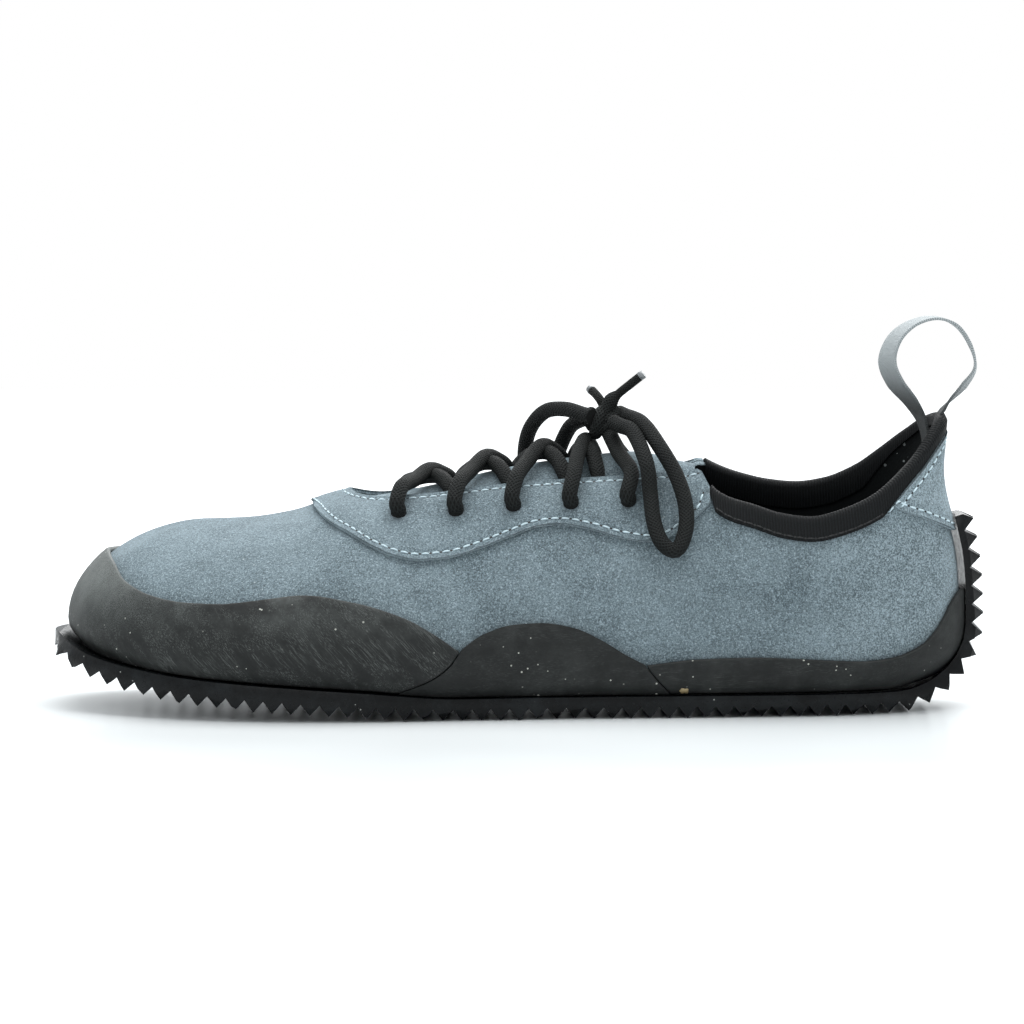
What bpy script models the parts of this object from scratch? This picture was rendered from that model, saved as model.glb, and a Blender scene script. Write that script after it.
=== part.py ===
"""Barefoot shoe for the left foot: a suede shell on a studded rubber sheet that runs up the heel.

The toe points along -X, the outer (lateral) side faces -Y, the inner (medial) side faces +Y and +Z
is up. The floor is z = 0. The shoe is built round its last: every layer of the upper is a band of
the last's own surface, set off from it by the thickness of what lies beneath.
"""

import math

import bmesh
import bpy
from mathutils import Matrix, Vector

MM = 0.001

# Driving dimensions
LAST_LENGTH = 266.0 * MM
LAST_HEEL_X = 131.9 * MM
HEEL_BULGE = 1.5 * MM
BALL_WIDTH = 95.5 * MM
INSTEP_HEIGHT = 75.0 * MM
HEEL_TOP_HEIGHT = 87.0 * MM
CLEARANCE = 0.3 * MM
BEND_CLEARANCE = 0.3 * MM

UPPER_WALL = 1.8 * MM
RAND_THICKNESS = 1.7 * MM
EYESTAY_THICKNESS = 1.3 * MM
PATCH_THICKNESS = 1.3 * MM
BINDING_THICKNESS = 0.9 * MM
BINDING_DEPTH = 6.4 * MM
TONGUE_THICKNESS = 2.2 * MM
TONGUE_HALF_WIDTH = 23.0 * MM
TONGUE_SHIFT = -3.0 * MM
TONGUE_END_X = 54.0 * MM
TONGUE_END_FLAT = 1.5 * MM
TONGUE_CLEARANCE = 0.9 * MM
TONGUE_RISE = 3.5 * MM
TONGUE_DROOP = 7.0 * MM
TONGUE_BEND = 0.75
TONGUE_STEPS = 11
INSOLE_THICKNESS = 3.0 * MM

SOLE_HEIGHT = 6.4 * MM
SOLE_RISE = 16.0 * MM
SOLE_MARGIN = 2.2 * MM
SOLE_TOE_MARGIN = 4.7 * MM
STUD_HEIGHT = 3.4 * MM
STUD_PITCH = 5.5 * MM
STUD_FLAT = 1.2 * MM
BLUNT_RADIUS = 11.0 * MM
HEEL_PAD = (82.0 * MM, 0.0)
BALL_PAD = (-6.0 * MM, 0.0)
TAB_START_X = 104.0 * MM
TAB_TOP_HEIGHT = 58.0 * MM
TAB_HALF_WIDTH = 11.5 * MM

THROAT_REACH_LATERAL = 18.0 * MM
THROAT_REACH_MEDIAL = 12.0 * MM
THROAT_FRONT_X = -50.0 * MM
THROAT_ROUND = 12.0 * MM
STAY_FRONT_X = -60.8 * MM
STAY_FRONT_HALF_WIDTH = 39.5 * MM
STAY_FRONT_ROUND = 23.0 * MM
WAIST_REACH = 3.0 * MM

EYELET_DIAMETER = 4.4 * MM
EYELET_FIRST_X = -34.5 * MM
EYELET_SPACING = 17.0 * MM
EYELET_COUNT = 5
EYELET_INSET = 10.0 * MM

LACE_DIAMETER = 4.6 * MM
LACE_STEP = 1.5 * LACE_DIAMETER
TOP_CROSSING_RUN = 9.0 * MM
KNOT_X = 27.6 * MM
KNOT_LIFT = 9.6 * MM
KNOT_SIZE = (5.2 * MM, 5.0 * MM, 4.0 * MM)
LOOP_WIDTH = 10.0 * MM
LOOP_THICKNESS = 0.8 * MM

# Widest outline of the last seen from above: shares of its length from the heel, and of ball width
OUTLINE_COLUMNS = ("along", "lateral", "medial")
OUTLINE = (
    (0.000, 0.125, 0.125),
    (0.030, 0.224, 0.224),
    (0.087, 0.296, 0.290),
    (0.170, 0.334, 0.322),
    (0.260, 0.354, 0.318),
    (0.360, 0.374, 0.302),
    (0.460, 0.406, 0.312),
    (0.550, 0.446, 0.345),
    (0.630, 0.482, 0.398),
    (0.700, 0.497, 0.448),
    (0.760, 0.490, 0.484),
    (0.815, 0.462, 0.502),
    (0.865, 0.412, 0.503),
    (0.910, 0.340, 0.480),
    (0.950, 0.238, 0.430),
    (0.980, 0.105, 0.350),
)
TOE_TIP_SIDE = 0.150
OUTLINE_STEPS = 10

# Rise of the sole's top face as a share of the toe spring, and its base as a share of the level one
SOLE_COLUMNS = ("along", "rise", "base")
SOLE_PROFILE = (
    (-0.030, 0.000, 0.50),
    (0.005, 0.000, 0.62),
    (0.040, 0.000, 0.92),
    (0.070, 0.000, 1.00),
    (0.570, 0.000, 1.00),
    (0.600, 0.035, 1.10),
    (0.665, 0.130, 1.33),
    (0.750, 0.225, 1.43),
    (0.860, 0.360, 1.40),
    (0.937, 0.545, 1.20),
    (0.982, 0.740, 0.95),
    (1.012, 1.000, 0.80),
)

# The ridge over the foot, by the place along the last, as a share of the instep height
RIDGE_COLUMNS = ("along", "height")
RIDGE = (
    (0.860, 0.745),
    (0.800, 0.753),
    (0.750, 0.780),
    (0.710, 0.826),
    (0.671, 0.864),
    (0.590, 0.915),
    (0.484, 0.985),
    (0.380, 1.020),
    (0.320, 1.030),
    (0.270, 1.100),
    (0.215, 1.330),
    (0.170, 1.600),
    (0.140, 1.780),
    (0.120, 1.860),
)

# Sections from the toe tip (0) round to the back of the heel (100). "along" and "side" place the
# spine that a section springs from and "fan" turns it. "edge" is the slope of the bottom edge in
# degrees and "roll" how far it is tucked in, "wide" is the height of the widest line over the sole,
# "wall" and "crown" are the fullness of the side and the top, and "waist" draws the ankle in. The
# letters l and m stand for the lateral and the medial side.
SECTION_COLUMNS = (
    "station", "along", "side", "fan", "edge", "roll_l", "roll_m", "wide_l", "wide_m",
    "wall_l", "wall_m", "crown_l", "crown_m", "waist",
)
SECTIONS = (
    (0, 0.843, 0.105, 90, 62, 3.0, 3.0, 6.0, 6.0, 0.50, 0.50, 0.50, 0.50, 0.0),
    (5, 0.843, 0.105, 74, 62, 3.0, 3.0, 6.5, 6.5, 0.51, 0.51, 0.50, 0.51, 0.0),
    (10, 0.843, 0.105, 57, 62, 3.0, 3.0, 7.5, 7.5, 0.52, 0.53, 0.49, 0.54, 0.0),
    (15, 0.840, 0.105, 40, 62, 3.0, 3.0, 8.5, 8.5, 0.53, 0.55, 0.48, 0.57, 0.0),
    (20, 0.829, 0.103, 24, 62, 3.0, 3.0, 9.5, 9.5, 0.54, 0.56, 0.48, 0.58, 0.0),
    (25, 0.799, 0.100, 11, 62, 3.0, 3.0, 10.0, 10.0, 0.55, 0.57, 0.47, 0.57, 0.0),
    (30, 0.750, 0.094, 3, 62, 3.0, 3.0, 10.0, 10.0, 0.55, 0.57, 0.46, 0.54, 0.0),
    (35, 0.694, 0.086, 0, 62, 3.0, 3.0, 10.0, 10.0, 0.55, 0.56, 0.45, 0.50, 0.0),
    (45, 0.588, 0.066, 0, 62, 3.0, 3.5, 10.0, 11.0, 0.53, 0.58, 0.39, 0.52, 0.0),
    (55, 0.483, 0.050, 0, 60, 3.0, 5.0, 11.0, 13.0, 0.52, 0.60, 0.42, 0.62, 0.0),
    (65, 0.378, 0.037, 0, 60, 3.0, 6.0, 12.0, 15.0, 0.54, 0.62, 0.53, 0.64, 0.3),
    (70, 0.326, 0.030, 0, 60, 3.0, 6.0, 13.0, 16.0, 0.58, 0.64, 0.62, 0.62, 0.6),
    (75, 0.270, 0.020, -2, 60, 3.2, 5.0, 14.0, 16.0, 0.66, 0.66, 0.62, 0.56, 1.0),
    (80, 0.217, 0.010, -8, 56, 3.6, 4.5, 15.0, 16.0, 0.74, 0.74, 0.45, 0.45, 1.1),
    (85, 0.172, 0.005, -20, 48, 4.8, 5.2, 16.0, 17.0, 0.82, 0.82, 0.48, 0.48, 1.1),
    (90, 0.142, 0.000, -40, 32, 8.0, 8.0, 18.5, 18.5, 0.88, 0.88, 0.50, 0.50, 1.15),
    (95, 0.127, 0.000, -64, 12, 15.5, 15.5, 19.5, 19.5, 0.90, 0.90, 0.50, 0.50, 1.50),
    (100, 0.125, 0.000, -90, 0, 18.0, 18.0, 19.5, 19.5, 0.90, 0.90, 0.50, 0.50, 1.67),
)
WAIST_HEIGHT = 0.80
WAIST_SPREAD = 0.20
ROLL_SHARE = 0.2
ARC_FULLNESS = 0.55
DROP_FULLNESS = 0.6
BINDING_ROW = 0.6

# Height of the collar's edge behind the lacing, as shares of the heel's top height
TOPLINE_COLUMNS = ("station", "lateral", "medial")
TOPLINE = (
    (73.0, 0.842, 0.866),
    (73.5, 0.806, 0.852),
    (74.0, 0.766, 0.838),
    (74.8, 0.740, 0.822),
    (76.0, 0.720, 0.802),
    (77.5, 0.704, 0.782),
    (80.0, 0.672, 0.758),
    (82.5, 0.660, 0.748),
    (85.0, 0.682, 0.762),
    (87.5, 0.722, 0.802),
    (90.0, 0.786, 0.868),
    (92.5, 0.858, 0.932),
    (95.0, 0.940, 0.978),
    (97.5, 0.988, 0.995),
    (100.0, 1.000, 1.000),
)
THROAT_END = 73.0

# Lower edge of the lace stay behind its round front, as shares of the instep height
STAY_COLUMNS = ("along", "lateral", "medial")
STAY_EDGE = (
    (0.722, 0.790, 0.800),
    (0.706, 0.755, 0.780),
    (0.683, 0.715, 0.745),
    (0.660, 0.669, 0.700),
    (0.632, 0.632, 0.668),
    (0.604, 0.616, 0.655),
    (0.571, 0.625, 0.665),
    (0.533, 0.659, 0.700),
    (0.500, 0.701, 0.742),
    (0.467, 0.739, 0.776),
    (0.445, 0.745, 0.782),
    (0.412, 0.727, 0.765),
    (0.379, 0.696, 0.738),
    (0.346, 0.682, 0.722),
    (0.326, 0.696, 0.738),
    (0.305, 0.748, 0.798),
    (0.293, 0.785, 0.850),
    (0.281, 0.832, 0.905),
)
STAY_END = 74.0
BINDING_START = 74.4

# Top edges of the rubber rands by the place of the widest line along the last, in millimetres
RAND_COLUMNS = ("along", "lateral", "medial")
TOE_RAND = (
    (1.000, 45.5, 45.5),
    (0.975, 43.5, 45.0),
    (0.940, 38.5, 42.0),
    (0.900, 35.0, 38.0),
    (0.860, 33.5, 35.5),
    (0.820, 33.3, 34.5),
    (0.780, 34.5, 35.5),
    (0.729, 35.9, 37.0),
    (0.674, 34.3, 36.0),
    (0.620, 30.0, 31.5),
    (0.587, 25.4, 26.5),
    (0.558, 20.2, 20.2),
)
SIDE_RAND = (
    (0.558, 20.2, 20.2),
    (0.532, 25.0, 26.0),
    (0.500, 27.6, 30.5),
    (0.468, 28.1, 32.0),
    (0.434, 26.8, 30.5),
    (0.401, 23.0, 26.0),
    (0.374, 18.7, 20.5),
    (0.352, 15.7, 16.5),
)
HEEL_RAND = (
    (0.352, 15.7, 16.5),
    (0.292, 17.4, 19.0),
    (0.230, 17.8, 19.0),
    (0.190, 17.4, 18.2),
    (0.150, 16.8, 17.2),
    (0.110, 16.4, 16.6),
    (0.075, 17.4, 17.6),
    (0.045, 20.5, 21.0),
    (0.024, 26.5, 27.0),
    (0.010, 33.0, 33.5),
    (0.000, 36.0, 36.0),
)
TOE_SIDE_JOINT = 48.0
SIDE_HEEL_JOINT = 67.5

# How far the upright lines of the rands lean back at their foot, in stations
SLANT_COLUMNS = ("station", "slant")
SLANT = (
    (34.0, 0.0),
    (TOE_SIDE_JOINT, -6.4),
    (58.0, -0.5),
    (SIDE_HEEL_JOINT, 2.6),
    (76.0, 0.0),
)

# Heel patch: its lower edge as a share of the heel's top height, and the share of the binding's
# depth that shows over it
HEEL_PATCH_COLUMNS = ("station", "lower", "binding")
HEEL_PATCH = (
    (88.4, 0.745, 1.00),
    (90.0, 0.694, 0.66),
    (92.0, 0.668, 0.46),
    (94.5, 0.636, 0.42),
    (97.0, 0.614, 0.42),
    (100.0, 0.608, 0.42),
)
PATCH_START = 88.4

# Half width of the sheet's tab up the heel, by the share of its run from the level sole to its top
TAB_COLUMNS = ("run", "half")
TAB = (
    (0.00, 2.42),
    (0.07, 2.16),
    (0.14, 1.86),
    (0.22, 1.55),
    (0.32, 1.28),
    (0.46, 1.10),
    (0.70, 1.00),
    (0.96, 0.97),
    (1.00, 0.90),
)

# The pull loop seen from the side, in millimetres: each point's place behind the heel's top edge
# and above it, and the ribbon's turn towards the toe in degrees
LOOP_COLUMNS = ("behind", "above", "turn")
LOOP_PATH = (
    (-5.2, -12.0, 0),
    (-5.0, -7.0, 4),
    (-6.2, -1.0, 10),
    (-9.6, 4.8, 18),
    (-14.2, 10.4, 24),
    (-16.6, 16.8, 25),
    (-14.4, 23.6, 18),
    (-9.0, 28.2, 8),
    (-2.2, 29.8, 2),
    (4.0, 27.6, 0),
    (8.2, 21.8, 2),
    (9.8, 15.0, 8),
    (6.6, 9.6, 14),
    (2.6, 5.4, 8),
    (0.2, 2.4, 0),
)

# The bow's cords, in millimetres: each point's place along the shoe, how far out it lies from the
# throat's edge (negative is within the throat), and its height off the last
BOW_COLUMNS = ("x", "out", "lift")
LOOP_LATERAL = (
    (33.2, -16.4, 11.0),
    (38.0, -9.2, 11.2),
    (43.0, -1.4, 9.6),
    (47.6, 5.9, 7.0),
    (50.0, 14.5, 5.2),
    (49.8, 22.0, 4.6),
    (47.1, 27.3, 4.6),
    (43.1, 25.3, 4.6),
    (40.8, 19.3, 4.6),
    (39.9, 11.0, 5.2),
    (38.8, 3.5, 9.6),
    (35.2, -6.4, 10.4),
    (31.6, -10.2, 10.2),
)
LOOP_MEDIAL = (
    (20.4, -13.0, 12.2),
    (15.0, -10.0, 14.2),
    (9.1, -6.5, 15.4),
    (4.6, -2.5, 14.0),
    (3.0, 2.5, 11.6),
    (4.2, 8.5, 8.6),
    (6.5, 14.5, 4.9),
    (9.4, 18.0, 4.7),
    (11.8, 14.8, 4.7),
    (11.4, 8.5, 5.8),
    (13.0, 1.8, 9.2),
    (16.8, -3.2, 12.6),
    (21.4, -7.0, 12.0),
)
END_LATERAL = (
    (28.8, -17.4, 15.3),
    (31.4, -17.4, 17.7),
    (34.6, -17.2, 20.2),
    (38.2, -17.0, 23.0),
)
END_MEDIAL = (
    (27.2, -9.6, 12.9),
    (26.0, -8.8, 16.2),
    (24.6, -7.8, 18.8),
    (23.2, -6.8, 21.0),
)
BOW_CORDS = (
    ("lace_loop_lateral", -1, LOOP_LATERAL),
    ("lace_loop_medial", 1, LOOP_MEDIAL),
    ("lace_end_lateral", -1, END_LATERAL),
    ("lace_end_medial", 1, END_MEDIAL),
)

# Stations of the grid's upright lines: the toe, the vamp, the lacing, the collar and the heel
TOE_STATIONS = (0, 4, 8, 12, 16, 20, 24, 28, 32)
HEEL_STATIONS = (75.3, 76.6, 78.5, 80.7, 83.4, 86, PATCH_START, 89.6, 91.2, 93, 95, 97.5, 100)
STAY_FRONT_SHARES = (0.01, 0.05, 0.14, 0.30)
THROAT_FRONT_SHARES = (0.04, 0.18, 0.45, 1.0)
SOLE_STATIONS = (
    0, 2.5, 5, 7.5, 10, 12.5, 15, 17.5, 20, 23, 26, 29, 33, 38, 43, 48, 53, 58, 63, 67, 71, 75, 79, 82,
)
INSOLE_STATIONS = (
    0, 4, 8, 12, 16, 20, 25, 30, 36, 42, 48, 54, 60, 66, 72, 78, 83, 88, 92, 96, 100,
)
# The stretch of the last, from its heel, where the footbed bends up to the toe, and its folds
INSOLE_BENT = (0.571, 0.932)
INSOLE_FOLDS = 9
TAB_SHARES = (0.0, 0.06, 0.12, 0.18, 0.24, 0.30, 0.36, 0.43, 0.50, 0.60, 0.70, 0.96, 1.0)
TAB_BLEND = 4.0 * MM
TAB_STEPS = 40
TAB_GROWTH = 1.2
SLOPE_SHARE = 0.002
CURL_SHARE = 0.88
CURL_LIMIT = 0.9
RAND_ROWS = 3
SIDE_ROWS = 3
STAY_ROWS = 2
BINDING_ROWS = 1

FINISHES = {
    "suede": ((0.165, 0.225, 0.270, 1.0), 0.95),
    "rand_rubber": ((0.030, 0.030, 0.028, 1.0), 0.62),
    "sole_rubber": ((0.016, 0.018, 0.020, 1.0), 0.50),
    "ribbon": ((0.020, 0.022, 0.024, 1.0), 0.85),
    "loop_ribbon": ((0.110, 0.115, 0.115, 1.0), 0.80),
    "lace_cord": ((0.024, 0.023, 0.021, 1.0), 0.90),
    "lining": ((0.012, 0.012, 0.012, 1.0), 0.95),
}


class Table:
    """A short table with named columns, read between its rows by a curve that never overshoots."""

    def __init__(self, columns, rows):
        ordered = sorted(rows)
        self.key = [row[0] for row in ordered]
        self.columns = {name: [row[i] for row in ordered] for i, name in enumerate(columns)}
        self.slopes = {name: self.slopes_of(values) for name, values in self.columns.items()}

    def slopes_of(self, values):
        steps = [
            (values[i + 1] - values[i]) / (self.key[i + 1] - self.key[i])
            for i in range(len(values) - 1)
        ]
        inner = [2 * a * b / (a + b) if a * b > 0 else 0.0 for a, b in zip(steps, steps[1:])]
        return [steps[0], *inner, steps[-1]]

    def at(self, key, name):
        xs, ys, ms = self.key, self.columns[name], self.slopes[name]
        if key <= xs[0]:
            return ys[0]
        if key >= xs[-1]:
            return ys[-1]
        i = max(k for k in range(len(xs) - 1) if xs[k] <= key)
        gap = xs[i + 1] - xs[i]
        u = (key - xs[i]) / gap
        return (
            ys[i] * (1 + 2 * u) * (1 - u) ** 2
            + ms[i] * gap * u * (1 - u) ** 2
            + ys[i + 1] * u * u * (3 - 2 * u)
            + ms[i + 1] * gap * u * u * (u - 1)
        )


def mix(a, b, share):
    return a + (b - a) * share


def last_x(along):
    return LAST_HEEL_X - along * LAST_LENGTH


def last_along(x):
    return (LAST_HEEL_X - x) / LAST_LENGTH


def spline_point(a, b, c, d, share):
    """A point between b and c on the smooth line through a, b, c and d."""
    return 0.5 * (
        2 * b
        + (c - a) * share
        + (2 * a - 5 * b + 4 * c - d) * share**2
        + (3 * b - a - 3 * c + d) * share**3
    )


def smooth_line(points, steps, closed=False):
    """The smooth line through the points, with this many steps from each to the next."""
    count = len(points)
    line = []
    for i in range(count if closed else count - 1):
        near = [
            points[(i + k) % count] if closed else points[min(count - 1, max(0, i + k))]
            for k in (-1, 0, 1, 2)
        ]
        line.extend(spline_point(*near, step / steps) for step in range(steps))
    if not closed:
        line.append(points[-1].copy())
    return line


def bezier(a, b, c, d, share):
    rest = 1 - share
    return a * rest**3 + b * 3 * rest**2 * share + c * 3 * rest * share**2 + d * share**3


SOLE_TABLE = Table(SOLE_COLUMNS, SOLE_PROFILE)
RIDGE_TABLE = Table(RIDGE_COLUMNS, RIDGE)
SECTION_TABLE = Table(SECTION_COLUMNS, SECTIONS)
TOPLINE_TABLE = Table(TOPLINE_COLUMNS, TOPLINE)
STAY_TABLE = Table(STAY_COLUMNS, STAY_EDGE)
TOE_RAND_TABLE = Table(RAND_COLUMNS, TOE_RAND)
SIDE_RAND_TABLE = Table(RAND_COLUMNS, SIDE_RAND)
HEEL_RAND_TABLE = Table(RAND_COLUMNS, HEEL_RAND)
SLANT_TABLE = Table(SLANT_COLUMNS, SLANT)
PATCH_TABLE = Table(HEEL_PATCH_COLUMNS, HEEL_PATCH)
TAB_TABLE = Table(TAB_COLUMNS, TAB)
SIDE_NAME = {-1: "lateral", 1: "medial"}
THROAT_REACH = {-1: THROAT_REACH_LATERAL, 1: THROAT_REACH_MEDIAL}


def sole_top(x):
    return SOLE_HEIGHT + SOLE_RISE * SOLE_TABLE.at(last_along(x), "rise")


def outline_of_last():
    lateral = [Vector((last_x(row[0]), -row[1] * BALL_WIDTH)) for row in OUTLINE]
    medial = [Vector((last_x(row[0]), row[2] * BALL_WIDTH)) for row in OUTLINE]
    heel = Vector((LAST_HEEL_X + HEEL_BULGE, 0))
    toe = Vector((last_x(1), TOE_TIP_SIDE * BALL_WIDTH))
    return smooth_line([heel, *lateral, toe, *medial[::-1]], OUTLINE_STEPS, closed=True)


OUTLINE_LINE = outline_of_last()


def reach_of_outline(start, out):
    """Distance from start, along the direction out, to the last's outline."""
    best = 0.0
    for a, b in zip(OUTLINE_LINE, OUTLINE_LINE[1:] + OUTLINE_LINE[:1]):
        edge = b - a
        cross = out.x * edge.y - out.y * edge.x
        if abs(cross) < 1e-12:
            continue
        gap = a - start
        distance = (gap.x * edge.y - gap.y * edge.x) / cross
        share = (gap.x * out.y - gap.y * out.x) / cross
        if distance > best and -1e-6 <= share <= 1 + 1e-6:
            best = distance
    return best


class Section:
    """One upright cut through half of the last, from its bottom edge (0) to the spine (1)."""

    cache = {}

    def __init__(self, station, side):
        letter = SIDE_NAME[side][0]
        self.station = station
        fan = math.radians(SECTION_TABLE.at(station, "fan"))
        edge = math.radians(SECTION_TABLE.at(station, "edge"))
        along = SECTION_TABLE.at(station, "along")
        self.spine = Vector((last_x(along), SECTION_TABLE.at(station, "side") * BALL_WIDTH))
        self.out = Vector((-math.sin(fan), side * math.cos(fan)))
        self.reach = reach_of_outline(self.spine, self.out)
        self.base = self.spine + self.out * self.reach
        self.top = RIDGE_TABLE.at(along, "height") * INSTEP_HEIGHT
        roll = SECTION_TABLE.at(station, "roll_" + letter) * MM
        # The rand is turned in under the last where the bottom edge lies flat
        under = RAND_THICKNESS + CLEARANCE + BEND_CLEARANCE
        lift = CLEARANCE + under * math.cos(edge)
        rand_out = (RAND_THICKNESS + CLEARANCE) * math.sin(edge) - roll
        foot = sole_top(self.base.x + self.out.x * rand_out)
        self.wide = foot + SECTION_TABLE.at(station, "wide_" + letter) * MM
        drop = self.wide - foot - lift
        start = Vector((self.reach - roll, foot + lift))
        handle = ARC_FULLNESS * (roll * math.cos(edge) + DROP_FULLNESS * drop * math.sin(edge))
        crown = SECTION_TABLE.at(station, "crown_" + letter)
        wall = SECTION_TABLE.at(station, "wall_" + letter)
        side_end = Vector((self.reach, self.wide))
        self.foot_arc = (
            start,
            start + handle * Vector((math.cos(edge), math.sin(edge))),
            side_end - Vector((0, ARC_FULLNESS * drop)),
            side_end,
        )
        self.side_arc = (
            side_end,
            Vector((self.reach, mix(self.wide, self.top, wall))),
            Vector((crown * self.reach, self.top)),
            Vector((0, self.top)),
        )
        self.waist = SECTION_TABLE.at(station, "waist") * WAIST_REACH
        self.edge = edge
        self.roll = roll

    def flat(self, v):
        """Distance from the spine and height at a share of the section."""
        if v < ROLL_SHARE:
            point = bezier(*self.foot_arc, v / ROLL_SHARE)
        else:
            point = bezier(*self.side_arc, (v - ROLL_SHARE) / (1 - ROLL_SHARE))
        off = (point.y / HEEL_TOP_HEIGHT - WAIST_HEIGHT) / WAIST_SPREAD
        point.x -= self.waist * math.exp(-off * off)
        return point

    def point(self, v):
        flat = self.flat(v)
        return Vector((*(self.spine + self.out * flat.x), flat.y))

    def share_where(self, test):
        """The lowest share of the section, above the widest line, from which the test holds."""
        low, high = 0.0, 1.0
        for _ in range(26):
            middle = (low + high) / 2
            if test(self.flat(middle)):
                high = middle
            else:
                low = middle
        return high

    def share_at_height(self, height):
        return self.share_where(lambda flat: flat.y >= height)

    def share_at_reach(self, reach):
        return self.share_where(lambda flat: flat.x <= reach)


def section(station, side):
    key = (round(station, 5), side)
    if key not in Section.cache:
        Section.cache[key] = Section(min(100.0, max(0.0, station)), side)
    return Section.cache[key]


def station_at(x):
    """The last station whose spine lies in front of x, behind the toe's fan."""
    low, high = 0.0, 100.0
    for _ in range(24):
        middle = (low + high) / 2
        if section(middle, -1).spine.x < x:
            low = middle
        else:
            high = middle
    return low


def arc_below(cut, top, depth):
    """The share of a section that lies this far below another share, along its surface."""
    steps = 60
    walked = 0.0
    previous = cut.flat(top)
    for step in range(1, steps + 1):
        share = top - step / (2 * steps)
        point = cut.flat(share)
        length = (point - previous).length
        if walked + length >= depth:
            return share + (1 - (depth - walked) / length) / (2 * steps)
        walked += length
        previous = point
    return top - 0.5


def rand_height(cut, side):
    along = last_along(cut.base.x)
    table = HEEL_RAND_TABLE
    if cut.station <= TOE_SIDE_JOINT:
        table = TOE_RAND_TABLE
    elif cut.station <= SIDE_HEEL_JOINT:
        table = SIDE_RAND_TABLE
    if cut.station in (0, 100):
        return (table.at(along, "lateral") + table.at(along, "medial")) / 2 * MM
    return table.at(along, SIDE_NAME[side]) * MM


def rounded_reach(x, front, run, half):
    """Half width of a slot with a round front end."""
    share = min(1.0, max(0.0, (x - front) / run))
    return half * math.sqrt(1 - (1 - share) ** 2)


def key_shares(station, side):
    """Where the panels' edges cross a section: its foot, rand, stay or patch, binding and top."""
    cut = section(station, side)
    name = SIDE_NAME[side]
    rand = cut.share_at_height(rand_height(cut, side))
    top = 1.0
    if station >= THROAT_END:
        top = cut.share_at_height(TOPLINE_TABLE.at(station, name) * HEEL_TOP_HEIGHT)
        if station <= BINDING_START:
            top = min(top, cut.share_at_reach(THROAT_REACH[side]))
    elif cut.spine.x > THROAT_FRONT_X:
        half = rounded_reach(cut.spine.x, THROAT_FRONT_X, THROAT_ROUND, THROAT_REACH[side])
        top = cut.share_at_reach(half)
    if cut.spine.x <= STAY_FRONT_X:
        return (0.0, rand, 1.0, 1.0, 1.0)
    if station <= STAY_END:
        half = rounded_reach(
            cut.spine.x, STAY_FRONT_X, STAY_FRONT_ROUND, STAY_FRONT_HALF_WIDTH
        )
        low = STAY_TABLE.at(last_along(cut.spine.x), name) * INSTEP_HEIGHT
        lower = cut.share_at_height(low)
        if half < 0.999 * STAY_FRONT_HALF_WIDTH:
            lower = max(lower, cut.share_at_reach(half))
        return (0.0, rand, lower, mix(lower, top, BINDING_ROW), top)
    shown = BINDING_DEPTH * PATCH_TABLE.at(station, "binding")
    binding = arc_below(cut, top, shown)
    lower = binding
    if station > PATCH_START:
        lower = min(binding, cut.share_at_height(PATCH_TABLE.at(station, "lower") * HEEL_TOP_HEIGHT))
    return (0.0, rand, lower, binding, top)


ROWS = (RAND_ROWS, SIDE_ROWS, STAY_ROWS, BINDING_ROWS)
RAND_TOP = RAND_ROWS
STAY_FOOT = RAND_ROWS + SIDE_ROWS
BINDING_FOOT = STAY_FOOT + STAY_ROWS
TOP_ROW = BINDING_FOOT + BINDING_ROWS


class Line:
    """One upright line of the grid on one side, with its points and normals row by row."""

    def __init__(self, station, side):
        self.station = station
        self.side = side
        keys = key_shares(station, side)
        self.shares = [keys[0]]
        for low, high, count in zip(keys, keys[1:], ROWS):
            self.shares.extend(mix(low, high, step / count) for step in range(1, count + 1))
        slant = 0.0
        if SLANT[0][0] < station < SLANT[-1][0]:
            slant = SLANT_TABLE.at(station, "slant")
        self.stations = [
            station + slant * max(0.0, 1 - row / RAND_TOP) for row in range(TOP_ROW + 1)
        ]
        self.points = [
            section(at, side).point(share) for at, share in zip(self.stations, self.shares)
        ]
        self.normals = [
            self.normal(at, share) for at, share in zip(self.stations, self.shares)
        ]

    def normal(self, station, share):
        near = 0.25
        before = section(max(0.0, station - near), self.side)
        after = section(min(100.0, station + near), self.side)
        here = section(station, self.side)
        along = after.point(share) - before.point(share)
        if station < near or station > 100 - near:
            across = here.out.to_3d()
            along = Vector((0, 0, 1)).cross(across) * -self.side
        up = here.point(min(1.0, share + 0.002)) - here.point(max(0.0, share - 0.002))
        normal = up.cross(along) * self.side
        if share > 0.9999 and normal.length < 1e-9:
            return Vector((0, 0, 1))
        if normal.length < 1e-12:
            return here.out.to_3d()
        return normal.normalized()

    def at(self, row, lift):
        return self.points[row] + self.normals[row] * lift


def spread(low, high, count):
    return [mix(low, high, i / count) for i in range(1, count)]


def grid_stations():
    stay_front = station_at(STAY_FRONT_X)
    throat_front = station_at(THROAT_FRONT_X)
    stay_round = station_at(STAY_FRONT_X + STAY_FRONT_ROUND) - stay_front
    throat_round = station_at(THROAT_FRONT_X + THROAT_ROUND) - throat_front
    stations = [*TOE_STATIONS, stay_front, throat_front]
    stations += [stay_front + stay_round * share for share in STAY_FRONT_SHARES]
    stations += [throat_front + throat_round * share for share in THROAT_FRONT_SHARES]
    last = throat_front + throat_round
    stations += [last + 2.4, TOE_SIDE_JOINT]
    stations += spread(TOE_SIDE_JOINT, SIDE_HEEL_JOINT, 7)
    stations += [SIDE_HEEL_JOINT, mix(SIDE_HEEL_JOINT, THROAT_END, 0.5), THROAT_END]
    stations += [mix(THROAT_END, STAY_END, 0.5), STAY_END, BINDING_START]
    stations += HEEL_STATIONS
    return sorted(set(stations))


STATIONS = grid_stations()


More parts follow.
